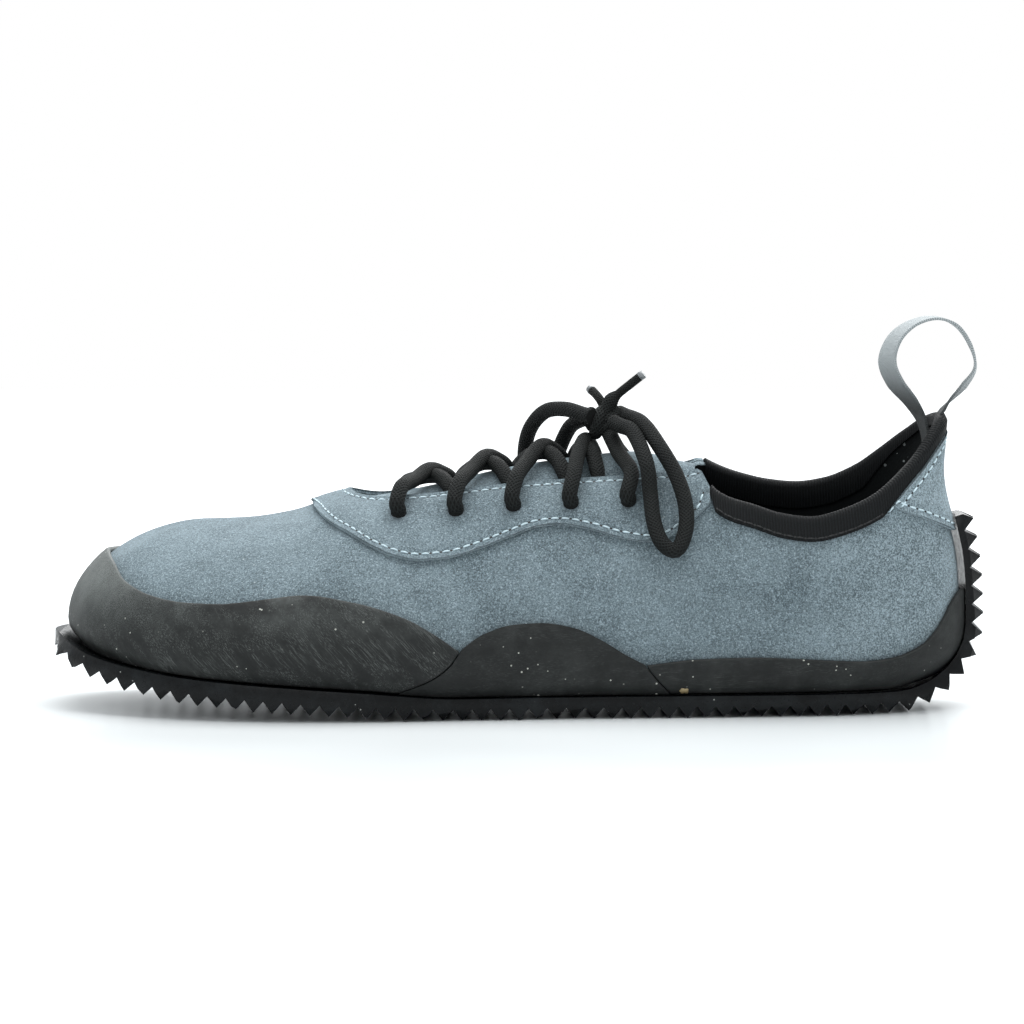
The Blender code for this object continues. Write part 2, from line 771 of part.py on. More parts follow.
def collection(name):
    found = bpy.data.collections.new(name)
    bpy.context.scene.collection.children.link(found)
    return found


def finish(name):
    colour, roughness = FINISHES[name]
    material = bpy.data.materials.new(name)
    material.use_nodes = True
    shader = material.node_tree.nodes["Principled BSDF"]
    shader.inputs["Base Color"].default_value = colour
    shader.inputs["Roughness"].default_value = roughness
    shader.inputs["Metallic"].default_value = 0.0
    return material


def clear_scene():
    for old in list(bpy.data.objects):
        bpy.data.objects.remove(old, do_unlink=True)


clear_scene()
SHOE = collection("barefoot_shoe")
CUTTERS = collection("cutters")
MATERIALS = {name: finish(name) for name in FINISHES}


def add_object(name, data, material, home=SHOE):
    piece = bpy.data.objects.new(name, data)
    home.objects.link(piece)
    if material:
        data.materials.append(MATERIALS[material])
    return piece


def mesh_from(bm, name):
    """A mesh from the points and faces gathered so far, with doubled points joined."""
    bmesh.ops.remove_doubles(bm, verts=bm.verts, dist=0.002 * MM)
    bmesh.ops.recalc_face_normals(bm, faces=bm.faces)
    mesh = bpy.data.meshes.new(name)
    bm.to_mesh(mesh)
    bm.free()
    mesh.shade_smooth()
    mesh.set_sharp_from_angle(angle=math.radians(35))
    return mesh


def add_face(bm, corners):
    """A face from its corners, leaving out those that fall together."""
    kept = []
    for corner in corners:
        if all((corner.co - other.co).length > 0.002 * MM for other in kept):
            kept.append(corner)
    if len(kept) > 2:
        bm.faces.new(kept)


def skin_strips(bm, strips):
    """Faces between strips of points, each as long as the next."""
    rows = [[bm.verts.new(point) for point in strip] for strip in strips]
    for left, right in zip(rows, rows[1:]):
        for i in range(len(left) - 1):
            add_face(bm, (left[i], left[i + 1], right[i + 1]))
            add_face(bm, (left[i], right[i + 1], right[i]))


def layer(name, strips_by_side, outward, thickness, material, folded=False):
    """A band of the last's surface made solid; outward is a place on it and the way it faces."""
    bm = bmesh.new()
    for strips in strips_by_side:
        skin_strips(bm, strips)
    bmesh.ops.remove_doubles(bm, verts=bm.verts, dist=0.002 * MM)
    bmesh.ops.recalc_face_normals(bm, faces=bm.faces)
    place, direction = outward
    nearest = min(bm.faces, key=lambda face: (face.calc_center_median() - place).length)
    if nearest.normal.dot(direction) < 0:
        bmesh.ops.reverse_faces(bm, faces=bm.faces)
    mesh = bpy.data.meshes.new(name)
    bm.to_mesh(mesh)
    bm.free()
    mesh.shade_smooth()
    piece = add_object(name, mesh, material)
    shell = piece.modifiers.new("wall", "SOLIDIFY")
    shell.thickness = abs(thickness)
    shell.offset = 1.0 if thickness > 0 else -1.0
    shell.use_even_offset = folded
    return piece


def facing(side, station, row):
    """A place on the last's grid and the way the surface faces there."""
    near = min(STATIONS, key=lambda at: abs(at - station))
    line = LINES[side, near]
    return line.points[row], line.normals[row]


def strips_of(side, first, last, low, high, lift):
    """Strips of grid points between two stations and two rows, set off from the last by lift."""
    lines = [LINES[side, at] for at in STATIONS if first - 1e-6 <= at <= last + 1e-6]
    return [[line.at(row, lift) for row in range(low, high + 1)] for line in lines]


LINES = {(side, at): Line(at, side) for side in (-1, 1) for at in STATIONS}


def make_upper():
    strips = [strips_of(side, 0, 100, 0, TOP_ROW, 0.0) for side in (-1, 1)]
    return layer("upper", strips, facing(-1, 60, 1), -UPPER_WALL, "suede")


def shortened(strips, start, end):
    """Strips with the first and last one moved along the surface, to leave a gap beside them."""
    trimmed = [list(strip) for strip in strips]
    for here, beside, gap in ((0, 1, start), (-1, -2, end)):
        if gap:
            trimmed[here] = [
                point + (other - point).normalized() * gap
                for point, other in zip(strips[here], strips[beside])
            ]
    return trimmed


def make_rands():
    half = CLEARANCE / 2
    for name, first, last in (
        ("rand_toe", 0, TOE_SIDE_JOINT),
        ("rand_side", TOE_SIDE_JOINT, SIDE_HEEL_JOINT),
        ("rand_heel", SIDE_HEEL_JOINT, 100),
    ):
        bands = {}
        for side in (-1, 1):
            strips = strips_of(side, first, last, 0, RAND_TOP, CLEARANCE)
            bands[side] = shortened(strips, half if first > 0 else 0, half if last < 100 else 0)
        middle = (first + last) / 2
        if name == "rand_side":
            for side, strips in bands.items():
                out = facing(side, middle, 1)
                layer(f"{name}_{SIDE_NAME[side]}", [strips], out, RAND_THICKNESS, "rand_rubber")
        else:
            out = facing(-1, middle, 1)
            layer(name, list(bands.values()), out, RAND_THICKNESS, "rand_rubber")


def make_eyestay():
    front = station_at(STAY_FRONT_X)
    strips = [
        strips_of(side, front, STAY_END, STAY_FOOT, TOP_ROW, CLEARANCE) for side in (-1, 1)
    ]
    return layer("eyestay", strips, facing(-1, 58, STAY_FOOT), EYESTAY_THICKNESS, "suede")


def below_binding(line):
    """The heel patch's points on one grid line, kept a gap away from the binding's lower edge."""
    gap = 2 * CLEARANCE
    points = [line.at(row, CLEARANCE) for row in range(STAY_FOOT, BINDING_FOOT + 1)]
    down = (line.at(STAY_FOOT - 1, CLEARANCE) - points[-1]).normalized()
    stop = points[-1] + down * gap
    return [stop if (point - points[-1]).dot(down) < gap else point for point in points]


def make_heel_patch():
    lines = [at for at in STATIONS if at >= PATCH_START]
    strips = [[below_binding(LINES[side, at]) for at in lines] for side in (-1, 1)]
    return layer("heel_patch", strips, facing(-1, 96, STAY_FOOT), PATCH_THICKNESS, "suede")


def make_binding():
    """A ribbon folded over the collar: down the outside, over the edge and down the inside."""
    halves = []
    for side in (-1, 1):
        lines = [LINES[side, at] for at in STATIONS if at >= BINDING_START]
        strips = []
        for line in lines:
            inside = -UPPER_WALL - CLEARANCE
            rows = range(BINDING_FOOT, TOP_ROW + 1)
            up = (line.points[TOP_ROW] - line.points[TOP_ROW - 1]).normalized() * CLEARANCE
            strip = [line.at(row, CLEARANCE) for row in rows]
            strip.append(line.at(TOP_ROW, CLEARANCE) + up)
            strip.append(line.at(TOP_ROW, inside) + up)
            strip.append(line.at(TOP_ROW, inside))
            strip.append(line.at(BINDING_FOOT, inside))
            strips.append(strip)
        halves.append(strips)
    out = facing(-1, 84, BINDING_FOOT)
    return layer("collar_binding", halves, out, BINDING_THICKNESS, "ribbon", folded=True)


def off_section(cut, share, lift):
    """A point off one section of the last, raised square to its line."""
    slope = (cut.flat(min(1.0, share + 0.01)) - cut.flat(max(0.0, share - 0.01))).normalized()
    flat = cut.flat(share) + Vector((slope.y, -slope.x)) * lift
    return Vector((*(cut.spine + cut.out * flat.x), flat.y))


def over_last(x, reach, lift):
    """A point off the last: beside the spine by reach, medial if positive, and raised by lift."""
    cut = section(station_at(x), 1 if reach > 0 else -1)
    return off_section(cut, cut.share_at_reach(max(abs(reach), 0.01 * MM)), lift)


def over_stay(x, side, down, lift):
    """A point off the lace stay: down from the throat's edge along the surface."""
    cut = section(station_at(x), side)
    return off_section(cut, arc_below(cut, cut.share_at_reach(THROAT_REACH[side]), down), lift)


def over_shoe(x, side, out, lift):
    """A point over the shoe: out from the throat's edge on one side, or within it if negative."""
    if out > 0:
        return over_stay(x, side, out, lift)
    return over_last(x, side * (THROAT_REACH[side] + out), lift)


def tongue_lift(x, reach):
    """How far the tongue's face lies off the last: under the wall, and bulging in the throat."""
    rear = min(1.0, max(0.0, (x - EYELET_FIRST_X) / (TONGUE_END_X - EYELET_FIRST_X)))
    half = THROAT_REACH[1 if reach > 0 else -1] - TONGUE_CLEARANCE
    inside = max(0.0, 1 - (reach / half) ** 2)
    droop = TONGUE_DROOP * max(0.0, (rear - TONGUE_BEND) / (1 - TONGUE_BEND)) ** 2
    return -UPPER_WALL - TONGUE_CLEARANCE + TONGUE_RISE * rear * inside - droop


def make_tongue():
    """A strip under the throat, on the last's own surface below the upper's wall."""
    first = THROAT_FRONT_X + 2 * CLEARANCE
    across = (-1.0, -0.66, -0.33, 0.0, 0.33, 0.66, 1.0)
    strips = []
    for step in range(TONGUE_STEPS + 1):
        x = mix(first, TONGUE_END_X, math.sin(math.pi / 2 * step / TONGUE_STEPS))
        round_end = min(1.0, (TONGUE_END_X + TONGUE_END_FLAT - x) / TONGUE_HALF_WIDTH)
        half = TONGUE_HALF_WIDTH * math.sqrt(1 - (1 - round_end) ** 2)
        reaches = [TONGUE_SHIFT + half * share for share in across]
        strips.append([over_last(x, reach, tongue_lift(x, reach)) for reach in reaches])
    up = (strips[4][3], Vector((0, 0, 1)))
    return layer("tongue", [strips], up, -TONGUE_THICKNESS, "suede")


def insole_edge(station, side):
    """Where the footbed ends: just inside the foot of the upper's wall."""
    cut = section(station, side)
    reach = cut.reach - cut.roll - UPPER_WALL * math.sin(cut.edge) - 2 * CLEARANCE
    return cut.spine + cut.out * reach


def make_insole():
    """A footbed plate that follows the sole's top face."""
    bm = bmesh.new()
    edge = [insole_edge(at, -1) for at in INSOLE_STATIONS]
    edge += [insole_edge(at, 1) for at in INSOLE_STATIONS[-2:0:-1]]
    bed = bpy.data.meshes.new("insole")
    verts = [bm.verts.new((point.x, point.y, 0.0)) for point in edge]
    bm.faces.new(verts)
    for fold in range(INSOLE_FOLDS):
        x = last_x(mix(*INSOLE_BENT, fold / (INSOLE_FOLDS - 1)))
        cutting = bm.verts[:] + bm.edges[:] + bm.faces[:]
        bmesh.ops.bisect_plane(bm, geom=cutting, plane_co=(x, 0, 0), plane_no=(1, 0, 0))
    for vert in bm.verts:
        vert.co.z = sole_top(vert.co.x) + CLEARANCE
    bmesh.ops.recalc_face_normals(bm, faces=bm.faces)
    if sum(face.normal.z for face in bm.faces) < 0:
        bmesh.ops.reverse_faces(bm, faces=bm.faces)
    bm.to_mesh(bed)
    bm.free()
    piece = add_object("insole", bed, "lining")
    plate = piece.modifiers.new("plate", "SOLIDIFY")
    plate.thickness = INSOLE_THICKNESS
    plate.offset = 1.0
    plate.use_even_offset = True
    return piece


def sheet_line():
    """The sheet's inner face on its centre plane, from the toe to the top of the tab."""
    points = []
    step = STUD_PITCH / 2
    x = last_x(1) - SOLE_MARGIN - SOLE_TOE_MARGIN - RAND_THICKNESS
    while x < TAB_START_X:
        points.append(Vector((x, sole_top(x))))
        x += step
    back = section(100, -1)
    off = RAND_THICKNESS + 2 * CLEARANCE + BEND_CLEARANCE
    for i in range(TAB_STEPS + 1):
        share = (i / TAB_STEPS) ** TAB_GROWTH
        near = back.flat(max(0.0, share - SLOPE_SHARE))
        far = back.flat(min(1.0, share + SLOPE_SHARE))
        slope = (far - near).normalized()
        flat = back.flat(share) + Vector((slope.y, -slope.x)) * off
        place = Vector((back.spine.x + flat.x, flat.y))
        if place.y >= TAB_TOP_HEIGHT:
            last = points[-1]
            points.append(last.lerp(place, (TAB_TOP_HEIGHT - last.y) / (place.y - last.y)))
            break
        if place.x > points[-1].x or place.y > points[-1].y:
            points.append(place)
    return points


class Profile:
    """The sheet's centre line by its length, with the way the sheet faces at each place."""

    def __init__(self, points):
        self.points = points
        self.lengths = [0.0]
        for a, b in zip(points, points[1:]):
            self.lengths.append(self.lengths[-1] + (b - a).length)
        self.total = self.lengths[-1]

    def at(self, length):
        length = min(self.total, max(0.0, length))
        i = max(k for k in range(len(self.points) - 1) if self.lengths[k] <= length + 1e-12)
        i = min(i, len(self.points) - 2)
        gap = self.lengths[i + 1] - self.lengths[i]
        share = (length - self.lengths[i]) / gap
        return self.points[i].lerp(self.points[i + 1], share)

    def down(self, length):
        """The direction from the sheet's inner face to its studs."""
        near = STUD_PITCH / 2
        slope = (self.at(length + near) - self.at(length - near)).normalized()
        return Vector((slope.y, -slope.x))

    def length_at(self, x):
        for i in range(len(self.points) - 1):
            if self.points[i].x <= x <= self.points[i + 1].x:
                share = (x - self.points[i].x) / (self.points[i + 1].x - self.points[i].x)
                return mix(self.lengths[i], self.lengths[i + 1], share)
        return 0.0


SHEET = Profile(sheet_line())
TAB_LENGTH = SHEET.length_at(TAB_START_X)


def offset_outline():
    """The last's outline with its foot rolled in, plus the rand and the margin that shows."""
    points = []
    for side in (-1, 1):
        line = []
        for at in SOLE_STATIONS:
            cut = section(at, side)
            tip = max(0.0, 1 - (at / SOLE_STATIONS[8]) ** 2)
            margin = SOLE_MARGIN + SOLE_TOE_MARGIN * tip
            reach = cut.reach - cut.roll + RAND_THICKNESS + CLEARANCE + margin
            line.append(cut.spine + cut.out * reach)
        points.append([p for p in line if p.x < TAB_START_X - TAB_BLEND])
    return points


def flat_sheet_outline():
    lateral, medial = offset_outline()
    sides = []
    for line, side in ((lateral, -1), (medial, 1)):
        half = [Vector((SHEET.length_at(point.x), point.y)) for point in line]
        run = SHEET.total - TAB_LENGTH
        for share in TAB_SHARES:
            width = TAB_TABLE.at(share, "half") * TAB_HALF_WIDTH
            half.append(Vector((TAB_LENGTH + run * share, side * width)))
        sides.append(half)
    return sides[0] + sides[1][:0:-1]


def stud_is_blunt(length, y):
    """Studs under the ball and the heel that the floor has worn flat."""
    x = SHEET.at(length).x
    return any(
        (Vector((x, y)) - Vector(place)).length < BLUNT_RADIUS for place in (HEEL_PAD, BALL_PAD)
    )


def studded_field():
    """A flat sheet of square pyramids, larger than the sole, with its inner face up."""
    bm = bmesh.new()
    columns = int(SHEET.total / STUD_PITCH) + 3
    rows = int(BALL_WIDTH / STUD_PITCH / 2) + 5
    start = -STUD_PITCH
    lengths = [start + i * STUD_PITCH for i in range(columns + 1)]
    sides = [j * STUD_PITCH for j in range(-rows, rows + 1)]
    base = -(SOLE_HEIGHT - STUD_HEIGHT)
    grid = [[bm.verts.new((s, y, base)) for y in sides] for s in lengths]
    # The inner face is one strip a column, but is divided where the sheet curls round the heel
    inner = []
    for s in lengths:
        divided = sides if s > TAB_LENGTH - STUD_PITCH else (sides[0], sides[-1])
        inner.append([bm.verts.new((s, y, 0.0)) for y in divided])
    for i in range(columns):
        here, there = inner[i], inner[i + 1]
        if len(here) == len(there):
            for j in range(len(here) - 1):
                bm.faces.new((here[j], there[j], there[j + 1], here[j + 1]))
        else:
            bm.faces.new([*here[::-1], *there])
        for j in (0, -1):
            bm.faces.new((here[j], there[j], grid[i + 1][j], grid[i][j]))
        for j in range(len(sides) - 1):
            corners = (grid[i][j], grid[i + 1][j], grid[i + 1][j + 1], grid[i][j + 1])
            add_stud(bm, corners, base)
    for edge, top in ((grid[0], inner[0]), (grid[-1], inner[-1])):
        bm.faces.new([*edge, *top[::-1]])
    return mesh_from(bm, "studded_field")


def add_stud(bm, corners, base):
    middle = sum((corner.co for corner in corners), Vector()) / 4
    tip = base - STUD_HEIGHT
    if not stud_is_blunt(middle.x, middle.y):
        top = bm.verts.new((middle.x, middle.y, tip))
        for a, b in zip(corners, corners[1:] + corners[:1]):
            bm.faces.new((a, b, top))
        return
    keep = STUD_FLAT / STUD_PITCH
    flat = [
        bm.verts.new((mix(middle.x, c.co.x, keep), mix(middle.y, c.co.y, keep), tip))
        for c in corners
    ]
    for i in range(4):
        k = (i + 1) % 4
        bm.faces.new((corners[i], corners[k], flat[k], flat[i]))
    bm.faces.new(flat)


def heel_curl(y):
    """How far round the heel bends away from the plane across its back."""
    near = OUTLINE[0]
    width = near[1] * BALL_WIDTH
    depth = HEEL_BULGE + near[0] * LAST_LENGTH
    radius = (width**2 + depth**2) / (2 * depth) + RAND_THICKNESS + 2 * CLEARANCE
    side = min(abs(y), CURL_LIMIT * radius)
    return CURL_SHARE * (radius - math.sqrt(radius**2 - side**2))


def bend_sheet(mesh):
    """Bend the flat sheet along its profile and curl its tab round the heel."""
    flat_base = SOLE_HEIGHT - STUD_HEIGHT
    for vert in mesh.vertices:
        length, y, depth = vert.co.x, vert.co.y, -vert.co.z
        place = SHEET.at(length)
        down = SHEET.down(length)
        thicker = SOLE_TABLE.at(last_along(place.x), "base")
        if depth > flat_base:
            depth += flat_base * (thicker - 1)
        else:
            depth *= thicker
        if down.x > 0 and place.x > TAB_START_X:
            depth -= heel_curl(y) * down.x
        vert.co = (place.x + down.x * depth, y, place.y + down.y * depth)
    mesh.update()


def make_outsole():
    outline = flat_sheet_outline()
    bm = bmesh.new()
    bottom = [bm.verts.new((p.x, p.y, -2 * SOLE_HEIGHT)) for p in outline]
    face = bm.faces.new(bottom)
    raised = bmesh.ops.extrude_face_region(bm, geom=[face])
    moved = [item for item in raised["geom"] if isinstance(item, bmesh.types.BMVert)]
    bmesh.ops.translate(bm, verts=moved, vec=(0, 0, 3 * SOLE_HEIGHT))
    cutter = add_object("sole_outline_cutter", mesh_from(bm, "sole_outline"), None, CUTTERS)
    cutter.hide_render = True
    cutter.display_type = "WIRE"
    piece = add_object("outsole", studded_field(), "sole_rubber")
    cut = piece.modifiers.new("outline", "BOOLEAN")
    cut.operation = "INTERSECT"
    cut.solver = "EXACT"
    cut.object = cutter
    bpy.context.view_layer.update()
    graph = bpy.context.evaluated_depsgraph_get()
    mesh = bpy.data.meshes.new_from_object(piece.evaluated_get(graph))
    piece.modifiers.remove(cut)
    bm = bmesh.new()
    bm.from_mesh(mesh)
    bmesh.ops.remove_doubles(bm, verts=bm.verts, dist=0.02 * MM)
    bmesh.ops.triangulate(bm, faces=bm.faces)
    bm.to_mesh(mesh)
    bm.free()
    bend_sheet(mesh)
    piece.data = mesh
    return piece


def eyelet_places():
    """Each eyelet's place along the shoe, from the toe end."""
    return [EYELET_FIRST_X + i * EYELET_SPACING for i in range(EYELET_COUNT)]


def punch_eyelets(pieces):
    """Round holes through the lace stay and the upper."""
    bm = bmesh.new()
    for x in eyelet_places():
        for side in (-1, 1):
            inner = over_stay(x, side, EYELET_INSET, -2 * UPPER_WALL)
            outer = over_stay(x, side, EYELET_INSET, 2 * (CLEARANCE + EYESTAY_THICKNESS))
            turn = (outer - inner).to_track_quat("Z", "Y").to_matrix().to_4x4()
            bmesh.ops.create_cone(
                bm, cap_ends=True, segments=8, depth=(outer - inner).length,
                radius1=EYELET_DIAMETER / 2, radius2=EYELET_DIAMETER / 2,
                matrix=Matrix.Translation((inner + outer) / 2) @ turn,
            )
    mesh = bpy.data.meshes.new("eyelet_punch")
    bm.to_mesh(mesh)
    bm.free()
    punch = add_object("eyelet_punch", mesh, None, CUTTERS)
    punch.hide_render = True
    punch.display_type = "WIRE"
    for piece in pieces:
        hole = piece.modifiers.new("eyelets", "BOOLEAN")
        hole.operation = "DIFFERENCE"
        hole.solver = "EXACT"
        hole.object = punch


def lace_tube(name, route, home=SHOE):
    """A round cord along a smooth line through the route's points, at even steps."""
    fine = smooth_line(route, 6)
    lengths = [0.0]
    for before, after in zip(fine, fine[1:]):
        lengths.append(lengths[-1] + (after - before).length)
    steps = max(3, round(lengths[-1] / LACE_STEP))
    points = []
    for step in range(steps + 1):
        reach = lengths[-1] * step / steps
        i = next(k for k in range(1, len(fine)) if lengths[k] >= reach - 0.001 * MM)
        share = (reach - lengths[i - 1]) / (lengths[i] - lengths[i - 1])
        points.append(fine[i - 1].lerp(fine[i], min(1.0, share)))
    curve = bpy.data.curves.new(name, "CURVE")
    curve.dimensions = "3D"
    curve.bevel_depth = LACE_DIAMETER / 2
    curve.bevel_resolution = 2
    curve.use_fill_caps = True
    spline = curve.splines.new("POLY")
    spline.points.add(len(points) - 1)
    for target, point in zip(spline.points, points):
        target.co = (*point, 1.0)
    piece = bpy.data.objects.new(name, curve)
    home.objects.link(piece)
    curve.materials.append(MATERIALS["lace_cord"])
    return piece


def curve_to_mesh(piece):
    """The same piece as a closed mesh, so that it can be joined to another."""
    bpy.context.view_layer.update()
    graph = bpy.context.evaluated_depsgraph_get()
    mesh = bpy.data.meshes.new_from_object(piece.evaluated_get(graph))
    bm = bmesh.new()
    bm.from_mesh(mesh)
    bmesh.ops.remove_doubles(bm, verts=bm.verts, dist=0.01 * MM)
    bm.to_mesh(mesh)
    bm.free()
    made = bpy.data.objects.new(piece.name + "_mesh", mesh)
    made.matrix_world = piece.matrix_world
    for home in piece.users_collection:
        home.objects.link(made)
    name = piece.name
    bpy.data.objects.remove(piece, do_unlink=True)
    made.name = name
    return made


def join_tubes(first, second):
    """Two crossing tubes as one solid."""
    kept = curve_to_mesh(first)
    cutter = curve_to_mesh(second)
    cutter.hide_render = True
    cutter.display_type = "WIRE"
    union = kept.modifiers.new("joined", "BOOLEAN")
    union.operation = "UNION"
    union.solver = "EXACT"
    union.object = cutter
    return kept


def lace_start(x, side):
    """Where a lace comes up out of its eyelet and turns over the stay's edge."""
    radius = LACE_DIAMETER / 2
    stay = CLEARANCE + EYESTAY_THICKNESS
    return [
        over_stay(x, side, EYELET_INSET, stay + 0.65 * radius),
        over_stay(x - 0.03 * EYELET_SPACING, side, EYELET_INSET, stay + 1.6 * radius),
        over_stay(x + 0.05 * EYELET_SPACING, side, 0.35 * EYELET_INSET, stay + 2.1 * radius),
    ]


def crossing_route(x, side, upper, run):
    """From an eyelet on one side, over the stay's edge and the tongue, to the other stay's edge."""
    radius = LACE_DIAMETER / 2
    stay = CLEARANCE + EYESTAY_THICKNESS
    near = THROAT_REACH[side]
    bed = radius + 2 * CLEARANCE
    middle = bed + (0.9 * radius if upper else 0.0)
    far = THROAT_REACH[-side] - radius - 2 * CLEARANCE
    inside = (
        (0.26, 0.62 * near, 0.5 * (stay + 1.9 * radius + middle)),
        (0.50, 0.1 * near, middle),
        (0.72, -0.45 * far, mix(bed, middle, 0.3)),
        (0.90, -far, 0.9 * bed),
    )
    route = lace_start(x, side)
    for share, reach, lift in inside:
        place = x + share * run
        route.append(over_last(place, side * reach, lift + tongue_lift(place, side * reach)))
    return route


def knot_route(x, side):
    """From the last eyelet to just past the middle, under the knot."""
    radius = LACE_DIAMETER / 2
    bed = radius + 2 * CLEARANCE
    route = lace_start(x, side)
    for share, place in ((0.6, mix(x, KNOT_X, 0.45)), (0.2, mix(x, KNOT_X, 0.9)), (-0.15, KNOT_X)):
        reach = side * share * THROAT_REACH[side]
        lift = mix(bed, EYESTAY_THICKNESS + 2 * radius, max(0.0, share))
        route.append(over_last(place, reach, lift + tongue_lift(place, reach)))
    return route


def make_lacing():
    places = eyelet_places()
    for i, x in enumerate(places):
        if i < len(places) - 1:
            run = EYELET_SPACING if i < len(places) - 2 else TOP_CROSSING_RUN
            routes = (
                crossing_route(x, -1, True, run),
                crossing_route(x, 1, False, run),
            )
        else:
            routes = knot_route(x, -1), knot_route(x, 1)
        first = lace_tube(f"lace_crossing_{i + 1}", routes[0])
        second = lace_tube(f"lace_crossing_cutter_{i + 1}", routes[1], CUTTERS)
        join_tubes(first, second)


def make_bow():
    """The knot, with the bow's two loops and the lace's two ends."""
    for name, side, rows in BOW_CORDS:
        route = [over_shoe(x * MM, side, out * MM, lift * MM) for x, out, lift in rows]
        lace_tube(name, route)
    bm = bmesh.new()
    bmesh.ops.create_uvsphere(bm, u_segments=12, v_segments=8, radius=1.0)
    bmesh.ops.scale(bm, vec=KNOT_SIZE, verts=bm.verts)
    bmesh.ops.translate(bm, vec=over_last(KNOT_X, 0.0, KNOT_LIFT), verts=bm.verts)
    mesh = bpy.data.meshes.new("lace_knot")
    bm.to_mesh(mesh)
    bm.free()
    mesh.shade_smooth()
    add_object("lace_knot", mesh, "lace_cord")


def make_pull_loop():
    """A ribbon along the loop's path, its width across the shoe and turned a little."""
    heel_top = section(100, -1)
    top = heel_top.share_at_height(HEEL_TOP_HEIGHT)
    edge = heel_top.point(top)
    points = [
        Vector((edge.x + behind * MM, 0.0, edge.z + above * MM)) for behind, above, _ in LOOP_PATH
    ]
    turns = [math.radians(row[2]) for row in LOOP_PATH]
    steps = 2
    line = smooth_line(points, steps)
    strips = []
    for i, point in enumerate(line):
        turn = turns[min(len(turns) - 1, i // steps)]
        after = turns[min(len(turns) - 1, i // steps + 1)]
        turn = mix(turn, after, (i % steps) / steps)
        ahead = line[min(len(line) - 1, i + 1)] - line[max(0, i - 1)]
        width = Matrix.Rotation(turn, 3, ahead.normalized()) @ Vector((0, 1, 0))
        half = width * LOOP_WIDTH / 2
        strips.append([point - half, point + half])
    bm = bmesh.new()
    skin_strips(bm, strips)
    mesh = bpy.data.meshes.new("pull_loop")
    bm.to_mesh(mesh)
    bm.free()
    mesh.shade_smooth()
    piece = add_object("pull_loop", mesh, "loop_ribbon")
    shell = piece.modifiers.new("ribbon", "SOLIDIFY")
    shell.thickness = LOOP_THICKNESS
    shell.offset = 0.0
    return piece


def main():
    make_outsole()
    upper = make_upper()
    make_rands()
    eyestay = make_eyestay()
    punch_eyelets((upper, eyestay))
    make_heel_patch()
    make_binding()
    make_tongue()
    make_insole()
    make_pull_loop()
    make_lacing()
    make_bow()


main()
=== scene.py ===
"""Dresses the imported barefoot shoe: suede, rubber, ribbon, lace, stitches, floor and light."""

import math

import bmesh
import bpy
from mathutils import Matrix, Vector
from mathutils.bvhtree import BVHTree
from mathutils.kdtree import KDTree


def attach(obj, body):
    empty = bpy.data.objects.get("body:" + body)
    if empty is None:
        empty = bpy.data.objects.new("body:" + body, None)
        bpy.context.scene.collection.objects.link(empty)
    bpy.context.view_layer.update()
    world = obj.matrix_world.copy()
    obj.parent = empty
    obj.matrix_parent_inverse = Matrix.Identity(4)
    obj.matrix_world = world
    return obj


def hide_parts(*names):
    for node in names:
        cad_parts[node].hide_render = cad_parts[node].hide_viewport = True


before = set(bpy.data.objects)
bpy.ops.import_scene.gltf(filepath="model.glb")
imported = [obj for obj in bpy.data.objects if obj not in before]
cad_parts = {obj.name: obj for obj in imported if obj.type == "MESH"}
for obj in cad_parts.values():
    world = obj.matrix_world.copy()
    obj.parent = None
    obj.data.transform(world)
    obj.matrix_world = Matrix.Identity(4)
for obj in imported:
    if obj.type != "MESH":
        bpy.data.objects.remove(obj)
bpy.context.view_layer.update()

bl_info = {
    "name": "Barefoot shoe",
    "version": (1, 0, 0),
    "blender": (4, 5, 0),
    "location": "View3D > Sidebar > Shoe",
    "description": "Makes the looks of a suede barefoot shoe with a studded rubber sole",
    "category": "Add Mesh",
}

MM = 0.001

# Driving dimensions
LAST_LENGTH = 266.0 * MM
LAST_HEEL_X = 131.9 * MM
HEEL_BULGE = 1.5 * MM
BALL_WIDTH = 95.5 * MM
INSTEP_HEIGHT = 75.0 * MM
HEEL_TOP_HEIGHT = 87.0 * MM
CLEARANCE = 0.3 * MM
BEND_CLEARANCE = 0.3 * MM

UPPER_WALL = 1.8 * MM
RAND_THICKNESS = 1.7 * MM
EYESTAY_THICKNESS = 1.3 * MM
PATCH_THICKNESS = 1.3 * MM
BINDING_THICKNESS = 0.9 * MM
BINDING_DEPTH = 6.4 * MM
TONGUE_THICKNESS = 2.2 * MM
TONGUE_HALF_WIDTH = 23.0 * MM
TONGUE_SHIFT = -3.0 * MM
TONGUE_END_X = 54.0 * MM
TONGUE_END_FLAT = 1.5 * MM
TONGUE_CLEARANCE = 0.9 * MM
TONGUE_RISE = 3.5 * MM
TONGUE_DROOP = 7.0 * MM
TONGUE_BEND = 0.75

SOLE_HEIGHT = 6.4 * MM
SOLE_RISE = 16.0 * MM

THROAT_REACH_LATERAL = 18.0 * MM
THROAT_REACH_MEDIAL = 12.0 * MM
THROAT_FRONT_X = -50.0 * MM
THROAT_ROUND = 12.0 * MM
STAY_FRONT_X = -60.8 * MM
STAY_FRONT_HALF_WIDTH = 39.5 * MM
STAY_FRONT_ROUND = 23.0 * MM
WAIST_REACH = 3.0 * MM

EYELET_DIAMETER = 4.4 * MM
EYELET_FIRST_X = -34.5 * MM
EYELET_SPACING = 17.0 * MM
EYELET_COUNT = 5
EYELET_INSET = 10.0 * MM

LACE_DIAMETER = 4.6 * MM
TOP_CROSSING_RUN = 9.0 * MM
KNOT_X = 27.6 * MM
KNOT_LIFT = 9.6 * MM
LOOP_WIDTH = 10.0 * MM
LOOP_THICKNESS = 0.8 * MM

